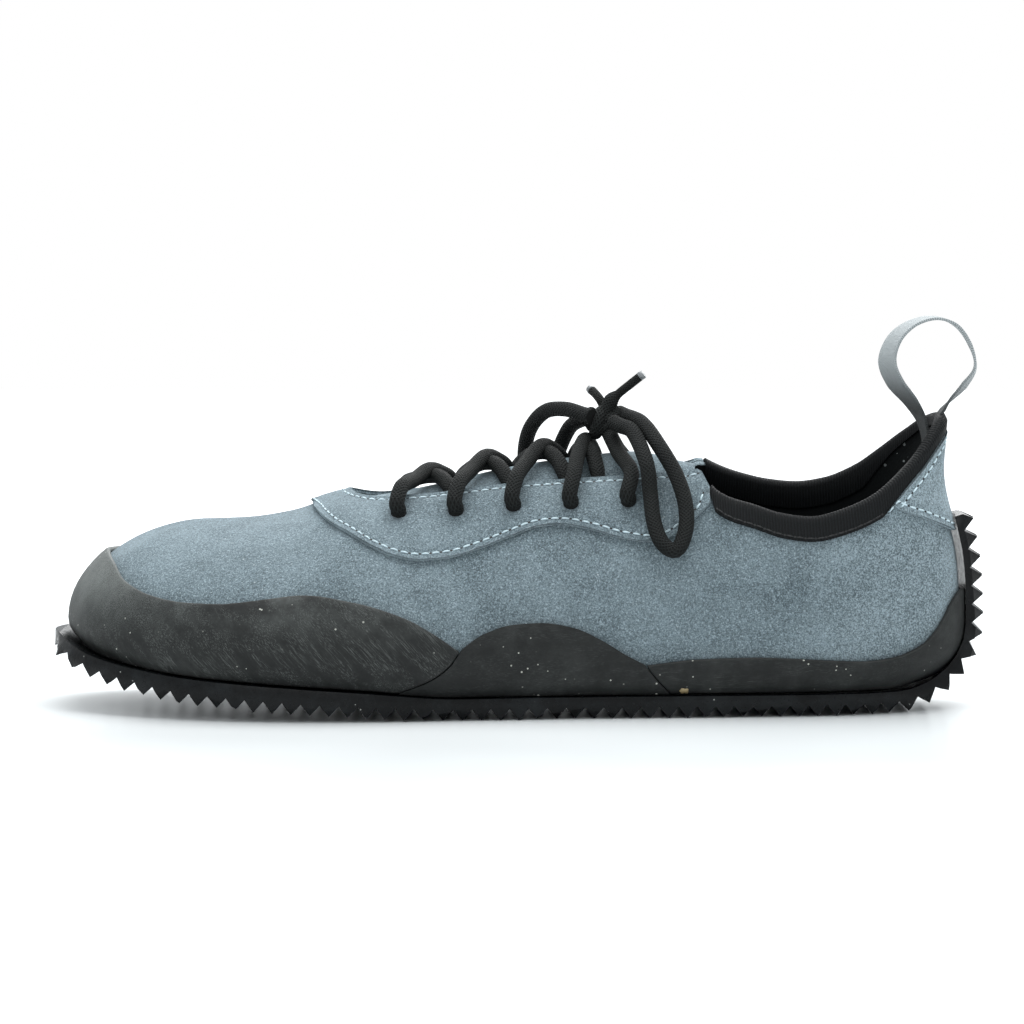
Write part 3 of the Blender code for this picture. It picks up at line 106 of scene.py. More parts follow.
# Widest outline of the last seen from above: shares of its length from the heel, and of the ball
# width on the lateral and the medial side
OUTLINE = (
    (0.000, 0.125, 0.125),
    (0.030, 0.224, 0.224),
    (0.087, 0.296, 0.290),
    (0.170, 0.334, 0.322),
    (0.260, 0.354, 0.318),
    (0.360, 0.374, 0.302),
    (0.460, 0.406, 0.312),
    (0.550, 0.446, 0.345),
    (0.630, 0.482, 0.398),
    (0.700, 0.497, 0.448),
    (0.760, 0.490, 0.484),
    (0.815, 0.462, 0.502),
    (0.865, 0.412, 0.503),
    (0.910, 0.340, 0.480),
    (0.950, 0.238, 0.430),
    (0.980, 0.105, 0.350),
)
TOE_TIP_SIDE = 0.150
OUTLINE_STEPS = 10

# Rise of the sole's top face as a share of the toe spring, and its base as a share of the level one
SOLE_COLUMNS = ("along", "rise", "base")
SOLE_PROFILE = (
    (-0.030, 0.000, 0.50),
    (0.005, 0.000, 0.62),
    (0.040, 0.000, 0.92),
    (0.070, 0.000, 1.00),
    (0.570, 0.000, 1.00),
    (0.600, 0.035, 1.10),
    (0.665, 0.130, 1.33),
    (0.750, 0.225, 1.43),
    (0.860, 0.360, 1.40),
    (0.937, 0.545, 1.20),
    (0.982, 0.740, 0.95),
    (1.012, 1.000, 0.80),
)

# The ridge over the foot, by the place along the last, as a share of the instep height
RIDGE_COLUMNS = ("along", "height")
RIDGE = (
    (0.860, 0.745),
    (0.800, 0.753),
    (0.750, 0.780),
    (0.710, 0.826),
    (0.671, 0.864),
    (0.590, 0.915),
    (0.484, 0.985),
    (0.380, 1.020),
    (0.320, 1.030),
    (0.270, 1.100),
    (0.215, 1.330),
    (0.170, 1.600),
    (0.140, 1.780),
    (0.120, 1.860),
)

# Sections from the toe tip (0) round to the back of the heel (100). "along" and "side" place the
# spine that a section springs from and "fan" turns it. "edge" is the slope of the bottom edge in
# degrees and "roll" how far it is tucked in, "wide" is the height of the widest line over the sole,
# "wall" and "crown" are the fullness of the side and the top, and "waist" draws the ankle in. The
# letters l and m stand for the lateral and the medial side.
SECTION_COLUMNS = (
    "station", "along", "side", "fan", "edge", "roll_l", "roll_m", "wide_l", "wide_m",
    "wall_l", "wall_m", "crown_l", "crown_m", "waist",
)
SECTIONS = (
    (0, 0.843, 0.105, 90, 62, 3.0, 3.0, 6.0, 6.0, 0.50, 0.50, 0.50, 0.50, 0.0),
    (5, 0.843, 0.105, 74, 62, 3.0, 3.0, 6.5, 6.5, 0.51, 0.51, 0.50, 0.51, 0.0),
    (10, 0.843, 0.105, 57, 62, 3.0, 3.0, 7.5, 7.5, 0.52, 0.53, 0.49, 0.54, 0.0),
    (15, 0.840, 0.105, 40, 62, 3.0, 3.0, 8.5, 8.5, 0.53, 0.55, 0.48, 0.57, 0.0),
    (20, 0.829, 0.103, 24, 62, 3.0, 3.0, 9.5, 9.5, 0.54, 0.56, 0.48, 0.58, 0.0),
    (25, 0.799, 0.100, 11, 62, 3.0, 3.0, 10.0, 10.0, 0.55, 0.57, 0.47, 0.57, 0.0),
    (30, 0.750, 0.094, 3, 62, 3.0, 3.0, 10.0, 10.0, 0.55, 0.57, 0.46, 0.54, 0.0),
    (35, 0.694, 0.086, 0, 62, 3.0, 3.0, 10.0, 10.0, 0.55, 0.56, 0.45, 0.50, 0.0),
    (45, 0.588, 0.066, 0, 62, 3.0, 3.5, 10.0, 11.0, 0.53, 0.58, 0.39, 0.52, 0.0),
    (55, 0.483, 0.050, 0, 60, 3.0, 5.0, 11.0, 13.0, 0.52, 0.60, 0.42, 0.62, 0.0),
    (65, 0.378, 0.037, 0, 60, 3.0, 6.0, 12.0, 15.0, 0.54, 0.62, 0.53, 0.64, 0.3),
    (70, 0.326, 0.030, 0, 60, 3.0, 6.0, 13.0, 16.0, 0.58, 0.64, 0.62, 0.62, 0.6),
    (75, 0.270, 0.020, -2, 60, 3.2, 5.0, 14.0, 16.0, 0.66, 0.66, 0.62, 0.56, 1.0),
    (80, 0.217, 0.010, -8, 56, 3.6, 4.5, 15.0, 16.0, 0.74, 0.74, 0.45, 0.45, 1.1),
    (85, 0.172, 0.005, -20, 48, 4.8, 5.2, 16.0, 17.0, 0.82, 0.82, 0.48, 0.48, 1.1),
    (90, 0.142, 0.000, -40, 32, 8.0, 8.0, 18.5, 18.5, 0.88, 0.88, 0.50, 0.50, 1.15),
    (95, 0.127, 0.000, -64, 12, 15.5, 15.5, 19.5, 19.5, 0.90, 0.90, 0.50, 0.50, 1.50),
    (100, 0.125, 0.000, -90, 0, 18.0, 18.0, 19.5, 19.5, 0.90, 0.90, 0.50, 0.50, 1.67),
)
WAIST_HEIGHT = 0.80
WAIST_SPREAD = 0.20
ROLL_SHARE = 0.2
ARC_FULLNESS = 0.55
DROP_FULLNESS = 0.6
BINDING_ROW = 0.6

# Height of the collar's edge behind the lacing, as shares of the heel's top height
TOPLINE_COLUMNS = ("station", "lateral", "medial")
TOPLINE = (
    (73.0, 0.842, 0.866),
    (73.5, 0.806, 0.852),
    (74.0, 0.766, 0.838),
    (74.8, 0.740, 0.822),
    (76.0, 0.720, 0.802),
    (77.5, 0.704, 0.782),
    (80.0, 0.672, 0.758),
    (82.5, 0.660, 0.748),
    (85.0, 0.682, 0.762),
    (87.5, 0.722, 0.802),
    (90.0, 0.786, 0.868),
    (92.5, 0.858, 0.932),
    (95.0, 0.940, 0.978),
    (97.5, 0.988, 0.995),
    (100.0, 1.000, 1.000),
)
THROAT_END = 73.0

# Lower edge of the lace stay behind its round front, as shares of the instep height
STAY_COLUMNS = ("along", "lateral", "medial")
STAY_EDGE = (
    (0.722, 0.790, 0.800),
    (0.706, 0.755, 0.780),
    (0.683, 0.715, 0.745),
    (0.660, 0.669, 0.700),
    (0.632, 0.632, 0.668),
    (0.604, 0.616, 0.655),
    (0.571, 0.625, 0.665),
    (0.533, 0.659, 0.700),
    (0.500, 0.701, 0.742),
    (0.467, 0.739, 0.776),
    (0.445, 0.745, 0.782),
    (0.412, 0.727, 0.765),
    (0.379, 0.696, 0.738),
    (0.346, 0.682, 0.722),
    (0.326, 0.696, 0.738),
    (0.305, 0.748, 0.798),
    (0.293, 0.785, 0.850),
    (0.281, 0.832, 0.905),
)
STAY_END = 74.0
BINDING_START = 74.4

# Top edges of the rubber rands by the place of the widest line along the last, in millimetres
RAND_COLUMNS = ("along", "lateral", "medial")
TOE_RAND = (
    (1.000, 45.5, 45.5),
    (0.975, 43.5, 45.0),
    (0.940, 38.5, 42.0),
    (0.900, 35.0, 38.0),
    (0.860, 33.5, 35.5),
    (0.820, 33.3, 34.5),
    (0.780, 34.5, 35.5),
    (0.729, 35.9, 37.0),
    (0.674, 34.3, 36.0),
    (0.620, 30.0, 31.5),
    (0.587, 25.4, 26.5),
    (0.558, 20.2, 20.2),
)
SIDE_RAND = (
    (0.558, 20.2, 20.2),
    (0.532, 25.0, 26.0),
    (0.500, 27.6, 30.5),
    (0.468, 28.1, 32.0),
    (0.434, 26.8, 30.5),
    (0.401, 23.0, 26.0),
    (0.374, 18.7, 20.5),
    (0.352, 15.7, 16.5),
)
HEEL_RAND = (
    (0.352, 15.7, 16.5),
    (0.292, 17.4, 19.0),
    (0.230, 17.8, 19.0),
    (0.190, 17.4, 18.2),
    (0.150, 16.8, 17.2),
    (0.110, 16.4, 16.6),
    (0.075, 17.4, 17.6),
    (0.045, 20.5, 21.0),
    (0.024, 26.5, 27.0),
    (0.010, 33.0, 33.5),
    (0.000, 36.0, 36.0),
)
TOE_SIDE_JOINT = 48.0
SIDE_HEEL_JOINT = 67.5

# Each rand's stations, the turn of its sanding in degrees and how strongly it shows
RANDS = (
    ("rand_toe", 0, TOE_SIDE_JOINT, -48, 0.55),
    ("rand_side", TOE_SIDE_JOINT, SIDE_HEEL_JOINT, 0, 0.16),
    ("rand_heel", SIDE_HEEL_JOINT, 100, 4, 0.20),
)

# How far the upright lines of the rands lean back at their foot, in stations
SLANT_COLUMNS = ("station", "slant")
SLANT = (
    (34.0, 0.0),
    (TOE_SIDE_JOINT, -6.4),
    (58.0, -0.5),
    (SIDE_HEEL_JOINT, 2.6),
    (76.0, 0.0),
)

# Heel patch: its lower edge as a share of the heel's top height, and the share of the binding's
# depth that shows over it
HEEL_PATCH_COLUMNS = ("station", "lower", "binding")
HEEL_PATCH = (
    (88.4, 0.745, 1.00),
    (90.0, 0.694, 0.66),
    (92.0, 0.668, 0.46),
    (94.5, 0.636, 0.42),
    (97.0, 0.614, 0.42),
    (100.0, 0.608, 0.42),
)
PATCH_START = 88.4

# The pull loop seen from the side, in millimetres: each point's place behind the heel's top edge
# and above it, and the ribbon's turn towards the toe in degrees
LOOP_PATH = (
    (-5.2, -12.0, 0),
    (-5.0, -7.0, 4),
    (-6.2, -1.0, 10),
    (-9.6, 4.8, 18),
    (-14.2, 10.4, 24),
    (-16.6, 16.8, 25),
    (-14.4, 23.6, 18),
    (-9.0, 28.2, 8),
    (-2.2, 29.8, 2),
    (4.0, 27.6, 0),
    (8.2, 21.8, 2),
    (9.8, 15.0, 8),
    (6.6, 9.6, 14),
    (2.6, 5.4, 8),
    (0.2, 2.4, 0),
)

# The bow's cords, in millimetres: each point's place along the shoe, how far out it lies from the
# throat's edge (negative is within the throat), and its height off the last
LOOP_LATERAL = (
    (33.2, -16.4, 11.0),
    (38.0, -9.2, 11.2),
    (43.0, -1.4, 9.6),
    (47.6, 5.9, 7.0),
    (50.0, 14.5, 5.2),
    (49.8, 22.0, 4.6),
    (47.1, 27.3, 4.6),
    (43.1, 25.3, 4.6),
    (40.8, 19.3, 4.6),
    (39.9, 11.0, 5.2),
    (38.8, 3.5, 9.6),
    (35.2, -6.4, 10.4),
    (31.6, -10.2, 10.2),
)
LOOP_MEDIAL = (
    (20.4, -13.0, 12.2),
    (15.0, -10.0, 14.2),
    (9.1, -6.5, 15.4),
    (4.6, -2.5, 14.0),
    (3.0, 2.5, 11.6),
    (4.2, 8.5, 8.6),
    (6.5, 14.5, 4.9),
    (9.4, 18.0, 4.7),
    (11.8, 14.8, 4.7),
    (11.4, 8.5, 5.8),
    (13.0, 1.8, 9.2),
    (16.8, -3.2, 12.6),
    (21.4, -7.0, 12.0),
)
END_LATERAL = (
    (28.8, -17.4, 15.3),
    (31.4, -17.4, 17.7),
    (34.6, -17.2, 20.2),
    (38.2, -17.0, 23.0),
)
END_MEDIAL = (
    (27.2, -9.6, 12.9),
    (26.0, -8.8, 16.2),
    (24.6, -7.8, 18.8),
    (23.2, -6.8, 21.0),
)
BOW_CORDS = (
    ("lace_loop_lateral", -1, LOOP_LATERAL),
    ("lace_loop_medial", 1, LOOP_MEDIAL),
    ("lace_end_lateral", -1, END_LATERAL),
    ("lace_end_medial", 1, END_MEDIAL),
)


class Table:
    """A short table with named columns, read between its rows by a curve that never overshoots."""

    def __init__(self, columns, rows):
        ordered = sorted(rows)
        self.key = [row[0] for row in ordered]
        self.columns = {name: [row[i] for row in ordered] for i, name in enumerate(columns)}
        self.slopes = {name: self.slopes_of(values) for name, values in self.columns.items()}

    def slopes_of(self, values):
        steps = [
            (values[i + 1] - values[i]) / (self.key[i + 1] - self.key[i])
            for i in range(len(values) - 1)
        ]
        inner = [2 * a * b / (a + b) if a * b > 0 else 0.0 for a, b in zip(steps, steps[1:])]
        return [steps[0], *inner, steps[-1]]

    def at(self, key, name):
        xs, ys, ms = self.key, self.columns[name], self.slopes[name]
        if key <= xs[0]:
            return ys[0]
        if key >= xs[-1]:
            return ys[-1]
        i = max(k for k in range(len(xs) - 1) if xs[k] <= key)
        gap = xs[i + 1] - xs[i]
        u = (key - xs[i]) / gap
        return (
            ys[i] * (1 + 2 * u) * (1 - u) ** 2
            + ms[i] * gap * u * (1 - u) ** 2
            + ys[i + 1] * u * u * (3 - 2 * u)
            + ms[i + 1] * gap * u * u * (u - 1)
        )


def mix(a, b, share):
    return a + (b - a) * share


def last_x(along):
    return LAST_HEEL_X - along * LAST_LENGTH


def last_along(x):
    return (LAST_HEEL_X - x) / LAST_LENGTH


def spline_point(a, b, c, d, share):
    """A point between b and c on the smooth line through a, b, c and d."""
    return 0.5 * (
        2 * b
        + (c - a) * share
        + (2 * a - 5 * b + 4 * c - d) * share**2
        + (3 * b - a - 3 * c + d) * share**3
    )


def smooth_line(points, steps, closed=False):
    """The smooth line through the points, with this many steps from each to the next."""
    count = len(points)
    line = []
    for i in range(count if closed else count - 1):
        near = [
            points[(i + k) % count] if closed else points[min(count - 1, max(0, i + k))]
            for k in (-1, 0, 1, 2)
        ]
        line.extend(spline_point(*near, step / steps) for step in range(steps))
    if not closed:
        line.append(points[-1].copy())
    return line


def bezier(a, b, c, d, share):
    rest = 1 - share
    return a * rest**3 + b * 3 * rest**2 * share + c * 3 * rest * share**2 + d * share**3


SOLE_TABLE = Table(SOLE_COLUMNS, SOLE_PROFILE)
RIDGE_TABLE = Table(RIDGE_COLUMNS, RIDGE)
SECTION_TABLE = Table(SECTION_COLUMNS, SECTIONS)
TOPLINE_TABLE = Table(TOPLINE_COLUMNS, TOPLINE)
STAY_TABLE = Table(STAY_COLUMNS, STAY_EDGE)
TOE_RAND_TABLE = Table(RAND_COLUMNS, TOE_RAND)
SIDE_RAND_TABLE = Table(RAND_COLUMNS, SIDE_RAND)
HEEL_RAND_TABLE = Table(RAND_COLUMNS, HEEL_RAND)
SLANT_TABLE = Table(SLANT_COLUMNS, SLANT)
PATCH_TABLE = Table(HEEL_PATCH_COLUMNS, HEEL_PATCH)
SIDE_NAME = {-1: "lateral", 1: "medial"}
THROAT_REACH = {-1: THROAT_REACH_LATERAL, 1: THROAT_REACH_MEDIAL}


def sole_top(x):
    return SOLE_HEIGHT + SOLE_RISE * SOLE_TABLE.at(last_along(x), "rise")


def outline_of_last():
    lateral = [Vector((last_x(row[0]), -row[1] * BALL_WIDTH)) for row in OUTLINE]
    medial = [Vector((last_x(row[0]), row[2] * BALL_WIDTH)) for row in OUTLINE]
    heel = Vector((LAST_HEEL_X + HEEL_BULGE, 0))
    toe = Vector((last_x(1), TOE_TIP_SIDE * BALL_WIDTH))
    return smooth_line([heel, *lateral, toe, *medial[::-1]], OUTLINE_STEPS, closed=True)


OUTLINE_LINE = outline_of_last()


def reach_of_outline(start, out):
    """Distance from start, along the direction out, to the last's outline."""
    best = 0.0
    for a, b in zip(OUTLINE_LINE, OUTLINE_LINE[1:] + OUTLINE_LINE[:1]):
        edge = b - a
        cross = out.x * edge.y - out.y * edge.x
        if abs(cross) < 1e-12:
            continue
        gap = a - start
        distance = (gap.x * edge.y - gap.y * edge.x) / cross
        share = (gap.x * out.y - gap.y * out.x) / cross
        if distance > best and -1e-6 <= share <= 1 + 1e-6:
            best = distance
    return best


class Section:
    """One upright cut through half of the last, from its bottom edge (0) to the spine (1)."""

    cache = {}

    def __init__(self, station, side):
        letter = SIDE_NAME[side][0]
        self.station = station
        fan = math.radians(SECTION_TABLE.at(station, "fan"))
        edge = math.radians(SECTION_TABLE.at(station, "edge"))
        along = SECTION_TABLE.at(station, "along")
        self.spine = Vector((last_x(along), SECTION_TABLE.at(station, "side") * BALL_WIDTH))
        self.out = Vector((-math.sin(fan), side * math.cos(fan)))
        self.reach = reach_of_outline(self.spine, self.out)
        self.base = self.spine + self.out * self.reach
        self.top = RIDGE_TABLE.at(along, "height") * INSTEP_HEIGHT
        roll = SECTION_TABLE.at(station, "roll_" + letter) * MM
        # The rand is turned in under the last where the bottom edge lies flat
        under = RAND_THICKNESS + CLEARANCE + BEND_CLEARANCE
        lift = CLEARANCE + under * math.cos(edge)
        rand_out = (RAND_THICKNESS + CLEARANCE) * math.sin(edge) - roll
        foot = sole_top(self.base.x + self.out.x * rand_out)
        self.wide = foot + SECTION_TABLE.at(station, "wide_" + letter) * MM
        drop = self.wide - foot - lift
        start = Vector((self.reach - roll, foot + lift))
        handle = ARC_FULLNESS * (roll * math.cos(edge) + DROP_FULLNESS * drop * math.sin(edge))
        crown = SECTION_TABLE.at(station, "crown_" + letter)
        wall = SECTION_TABLE.at(station, "wall_" + letter)
        side_end = Vector((self.reach, self.wide))
        self.foot_arc = (
            start,
            start + handle * Vector((math.cos(edge), math.sin(edge))),
            side_end - Vector((0, ARC_FULLNESS * drop)),
            side_end,
        )
        self.side_arc = (
            side_end,
            Vector((self.reach, mix(self.wide, self.top, wall))),
            Vector((crown * self.reach, self.top)),
            Vector((0, self.top)),
        )
        self.waist = SECTION_TABLE.at(station, "waist") * WAIST_REACH

    def flat(self, v):
        """Distance from the spine and height at a share of the section."""
        if v < ROLL_SHARE:
            point = bezier(*self.foot_arc, v / ROLL_SHARE)
        else:
            point = bezier(*self.side_arc, (v - ROLL_SHARE) / (1 - ROLL_SHARE))
        off = (point.y / HEEL_TOP_HEIGHT - WAIST_HEIGHT) / WAIST_SPREAD
        point.x -= self.waist * math.exp(-off * off)
        return point

    def point(self, v):
        flat = self.flat(v)
        return Vector((*(self.spine + self.out * flat.x), flat.y))

    def share_where(self, test):
        """The lowest share of the section, above the widest line, from which the test holds."""
        low, high = 0.0, 1.0
        for _ in range(26):
            middle = (low + high) / 2
            if test(self.flat(middle)):
                high = middle
            else:
                low = middle
        return high

    def share_at_height(self, height):
        return self.share_where(lambda flat: flat.y >= height)

    def share_at_reach(self, reach):
        return self.share_where(lambda flat: flat.x <= reach)


def section(station, side):
    key = (round(station, 5), side)
    if key not in Section.cache:
        Section.cache[key] = Section(min(100.0, max(0.0, station)), side)
    return Section.cache[key]


def station_at(x):
    """The last station whose spine lies in front of x, behind the toe's fan."""
    low, high = 0.0, 100.0
    for _ in range(24):
        middle = (low + high) / 2
        if section(middle, -1).spine.x < x:
            low = middle
        else:
            high = middle
    return low


def arc_below(cut, top, depth):
    """The share of a section that lies this far below another share, along its surface."""
    steps = 60
    walked = 0.0
    previous = cut.flat(top)
    for step in range(1, steps + 1):
        share = top - step / (2 * steps)
        point = cut.flat(share)
        length = (point - previous).length
        if walked + length >= depth:
            return share + (1 - (depth - walked) / length) / (2 * steps)
        walked += length
        previous = point
    return top - 0.5


def rand_height(cut, side):
    along = last_along(cut.base.x)
    table = HEEL_RAND_TABLE
    if cut.station <= TOE_SIDE_JOINT:
        table = TOE_RAND_TABLE
    elif cut.station <= SIDE_HEEL_JOINT:
        table = SIDE_RAND_TABLE
    if cut.station in (0, 100):
        return (table.at(along, "lateral") + table.at(along, "medial")) / 2 * MM
    return table.at(along, SIDE_NAME[side]) * MM


def rounded_reach(x, front, run, half):
    """Half width of a slot with a round front end."""
    share = min(1.0, max(0.0, (x - front) / run))
    return half * math.sqrt(1 - (1 - share) ** 2)


def key_shares(station, side):
    """Where the panels' edges cross a section: its foot, rand, stay or patch, binding and top."""
    cut = section(station, side)
    name = SIDE_NAME[side]
    rand = cut.share_at_height(rand_height(cut, side))
    top = 1.0
    if station >= THROAT_END:
        top = cut.share_at_height(TOPLINE_TABLE.at(station, name) * HEEL_TOP_HEIGHT)
        if station <= BINDING_START:
            top = min(top, cut.share_at_reach(THROAT_REACH[side]))
    elif cut.spine.x > THROAT_FRONT_X:
        half = rounded_reach(cut.spine.x, THROAT_FRONT_X, THROAT_ROUND, THROAT_REACH[side])
        top = cut.share_at_reach(half)
    if cut.spine.x <= STAY_FRONT_X:
        return (0.0, rand, 1.0, 1.0, 1.0)
    if station <= STAY_END:
        half = rounded_reach(cut.spine.x, STAY_FRONT_X, STAY_FRONT_ROUND, STAY_FRONT_HALF_WIDTH)
        low = STAY_TABLE.at(last_along(cut.spine.x), name) * INSTEP_HEIGHT
        lower = cut.share_at_height(low)
        if half < 0.999 * STAY_FRONT_HALF_WIDTH:
            lower = max(lower, cut.share_at_reach(half))
        return (0.0, rand, lower, mix(lower, top, BINDING_ROW), top)
    shown = BINDING_DEPTH * PATCH_TABLE.at(station, "binding")
    binding = arc_below(cut, top, shown)
    lower = binding
    if station > PATCH_START:
        lower = min(binding, cut.share_at_height(PATCH_TABLE.at(station, "lower") * HEEL_TOP_HEIGHT))
    return (0.0, rand, lower, binding, top)


def normal_of(station, side, share):
    near = 0.25
    before = section(max(0.0, station - near), side)
    after = section(min(100.0, station + near), side)
    here = section(station, side)
    along = after.point(share) - before.point(share)
    if station < near or station > 100 - near:
        across = here.out.to_3d()
        along = Vector((0, 0, 1)).cross(across) * -side
    up = here.point(min(1.0, share + 0.002)) - here.point(max(0.0, share - 0.002))
    normal = up.cross(along) * side
    if share > 0.9999 and normal.length < 1e-9:
        return Vector((0, 0, 1))
    if normal.length < 1e-12:
        return here.out.to_3d()
    return normal.normalized()


def off_section(cut, share, lift):
    """A point off one section of the last, raised square to its line."""
    slope = (cut.flat(min(1.0, share + 0.01)) - cut.flat(max(0.0, share - 0.01))).normalized()
    flat = cut.flat(share) + Vector((slope.y, -slope.x)) * lift
    return Vector((*(cut.spine + cut.out * flat.x), flat.y))


def over_last(x, reach, lift):
    """A point off the last: beside the spine by reach, medial if positive, and raised by lift."""
    cut = section(station_at(x), 1 if reach > 0 else -1)
    return off_section(cut, cut.share_at_reach(max(abs(reach), 0.01 * MM)), lift)


def over_stay(x, side, down, lift):
    """A point off the lace stay: down from the throat's edge along the surface."""
    cut = section(station_at(x), side)
    return off_section(cut, arc_below(cut, cut.share_at_reach(THROAT_REACH[side]), down), lift)


def over_shoe(x, side, out, lift):
    """A point over the shoe: out from the throat's edge on one side, or within it if negative."""
    if out > 0:
        return over_stay(x, side, out, lift)
    return over_last(x, side * (THROAT_REACH[side] + out), lift)


def tongue_lift(x, reach):
    """How far the tongue's face lies off the last: under the wall, and bulging in the throat."""
    rear = min(1.0, max(0.0, (x - EYELET_FIRST_X) / (TONGUE_END_X - EYELET_FIRST_X)))
    half = THROAT_REACH[1 if reach > 0 else -1] - TONGUE_CLEARANCE
    inside = max(0.0, 1 - (reach / half) ** 2)
    droop = TONGUE_DROOP * max(0.0, (rear - TONGUE_BEND) / (1 - TONGUE_BEND)) ** 2
    return -UPPER_WALL - TONGUE_CLEARANCE + TONGUE_RISE * rear * inside - droop


def lace_start(x, side):
    """Where a lace comes up out of its eyelet and turns over the stay's edge."""
    radius = LACE_DIAMETER / 2
    stay = CLEARANCE + EYESTAY_THICKNESS
    return [
        over_stay(x, side, EYELET_INSET, stay + 0.65 * radius),
        over_stay(x - 0.03 * EYELET_SPACING, side, EYELET_INSET, stay + 1.6 * radius),
        over_stay(x + 0.05 * EYELET_SPACING, side, 0.35 * EYELET_INSET, stay + 2.1 * radius),
    ]


def crossing_route(x, side, upper, run):
    """From an eyelet on one side, over the stay's edge and the tongue, to the other stay's edge."""
    radius = LACE_DIAMETER / 2
    stay = CLEARANCE + EYESTAY_THICKNESS
    near = THROAT_REACH[side]
    bed = radius + 2 * CLEARANCE
    middle = bed + (0.9 * radius if upper else 0.0)
    far = THROAT_REACH[-side] - radius - 2 * CLEARANCE
    inside = (
        (0.26, 0.62 * near, 0.5 * (stay + 1.9 * radius + middle)),
        (0.50, 0.1 * near, middle),
        (0.72, -0.45 * far, mix(bed, middle, 0.3)),
        (0.90, -far, 0.9 * bed),
    )
    route = lace_start(x, side)
    for share, reach, lift in inside:
        place = x + share * run
        route.append(over_last(place, side * reach, lift + tongue_lift(place, side * reach)))
    return route


def knot_route(x, side):
    """From the last eyelet to just past the middle, under the knot."""
    radius = LACE_DIAMETER / 2
    bed = radius + 2 * CLEARANCE
    route = lace_start(x, side)
    for share, place in ((0.6, mix(x, KNOT_X, 0.45)), (0.2, mix(x, KNOT_X, 0.9)), (-0.15, KNOT_X)):
        reach = side * share * THROAT_REACH[side]
        lift = mix(bed, EYESTAY_THICKNESS + 2 * radius, max(0.0, share))
        route.append(over_last(place, reach, lift + tongue_lift(place, reach)))
    return route


# Soft troughs and ridges in the suede, in millimetres and degrees: the side, x and z of the middle
# of each, the turn of its run, its length and width, and how far it goes in
FOLDS = (
    (-1, -88.0, 52.0, 12, 26, 11, 0.55),
    (-1, -64.0, 48.0, 62, 17, 7, 0.45),
    (-1, -52.0, 40.0, 48, 20, 6, -0.35),
    (-1, -38.0, 37.0, 30, 22, 8, 0.40),
    (-1, -8.0, 42.0, -14, 26, 7, 0.45),
    (-1, 22.0, 39.0, 8, 24, 8, -0.40),
    (-1, 46.0, 43.0, 34, 18, 7, 0.50),
    (-1, 66.0, 36.0, -18, 24, 9, 0.55),
    (-1, 84.0, 44.0, 6, 22, 8, -0.40),
    (-1, 104.0, 40.0, 58, 18, 8, 0.50),
    (1, -84.0, 50.0, -8, 26, 10, 0.50),
    (1, -60.0, 46.0, 50, 18, 7, 0.45),
    (1, -30.0, 40.0, 18, 26, 8, 0.45),
    (1, 8.0, 38.0, -12, 28, 8, 0.50),
    (1, 40.0, 42.0, 20, 22, 8, -0.40),
    (1, 68.0, 38.0, -10, 26, 9, 0.50),
    (1, 102.0, 42.0, 52, 20, 8, 0.50),
)
FOLD_FOOT = 13.0 * MM
FOLD_FADE = 7.0
FOLD_RUN = 10.0 * MM

# Cords that cross in the knot, in millimetres from its middle
KNOT_BARS = (
    ((-5.6, 2.2, -1.6), (-3.0, 0.6, -0.4), (0.4, -2.8, 0.2), (3.2, -2.6, 1.0), (5.2, -0.6, 0.6)),
    ((-3.4, -2.4, -2.6), (-0.4, -3.2, -2.0), (2.8, -2.2, -1.6), (5.4, 0.2, -1.4)),
    ((-1.0, 2.6, 2.2), (1.2, 0.4, 2.8), (3.0, -1.6, 2.4), (3.6, -3.0, 0.2)),
)

# Fine steps of the dressed pieces
STATION_STEP = 0.7
TOE_STEP = 1.2
RAND_STEPS = 14
SIDE_STEPS = 16
STAY_STEPS = 12
BINDING_STEPS = 5
REAR_STEPS = 12
TONGUE_COLUMNS = 28
TONGUE_ROWS = 46
LOOP_STEPS = 8
CORD_SIDES = 18
CORD_STEP = 0.9 * MM
EDGE_ROUND = 0.28 * MM
RUBBER_ROUND = 0.75 * MM

STITCH_PITCH = 3.1 * MM
STITCH_LENGTH = 2.3 * MM
STITCH_WIDTH = 0.62 * MM
STITCH_INSET = 1.9 * MM
STITCH_SINK = 0.32 * MM
STITCH_SINK_WIDTH = 1.1 * MM
STITCH_SIDES = 6
# Flat dark discs at the needle holes: painted shade of the holes
HOLE_SHADE_LENGTH = 0.84 * MM
HOLE_SHADE_WIDTH = 0.60 * MM
HOLE_SHADE_LIFT = 0.05 * MM
# Half a stitch's section at places along it: along as a share of its length, width and height
STITCH_SHAPE = (
    (-0.50, 0.00, -0.25), (-0.44, 0.60, 0.05), (-0.22, 0.95, 0.50), (0.00, 1.00, 0.62),
    (0.22, 0.95, 0.50), (0.44, 0.60, 0.05), (0.50, 0.00, -0.25),
)

GLUE_X = 43.3 * MM
GLUE_RISE = 0.12
KNOT_ENTRY = 4.0 * MM

CAMERA_DISTANCE = 1.25
CAMERA_ELEVATION = 3.5
PHOTO_SCALE = 3321.4
PHOTO_SIZE = 1024
PHOTO_MIDDLE_X = -0.0009
PHOTO_MIDDLE_Z = 0.05843

SENSOR_WIDTH = 36.0
CAMERA_CLIP = (0.05, 20.0)

FLOOR_HALF = 3.0
FLOOR_CELLS = 24
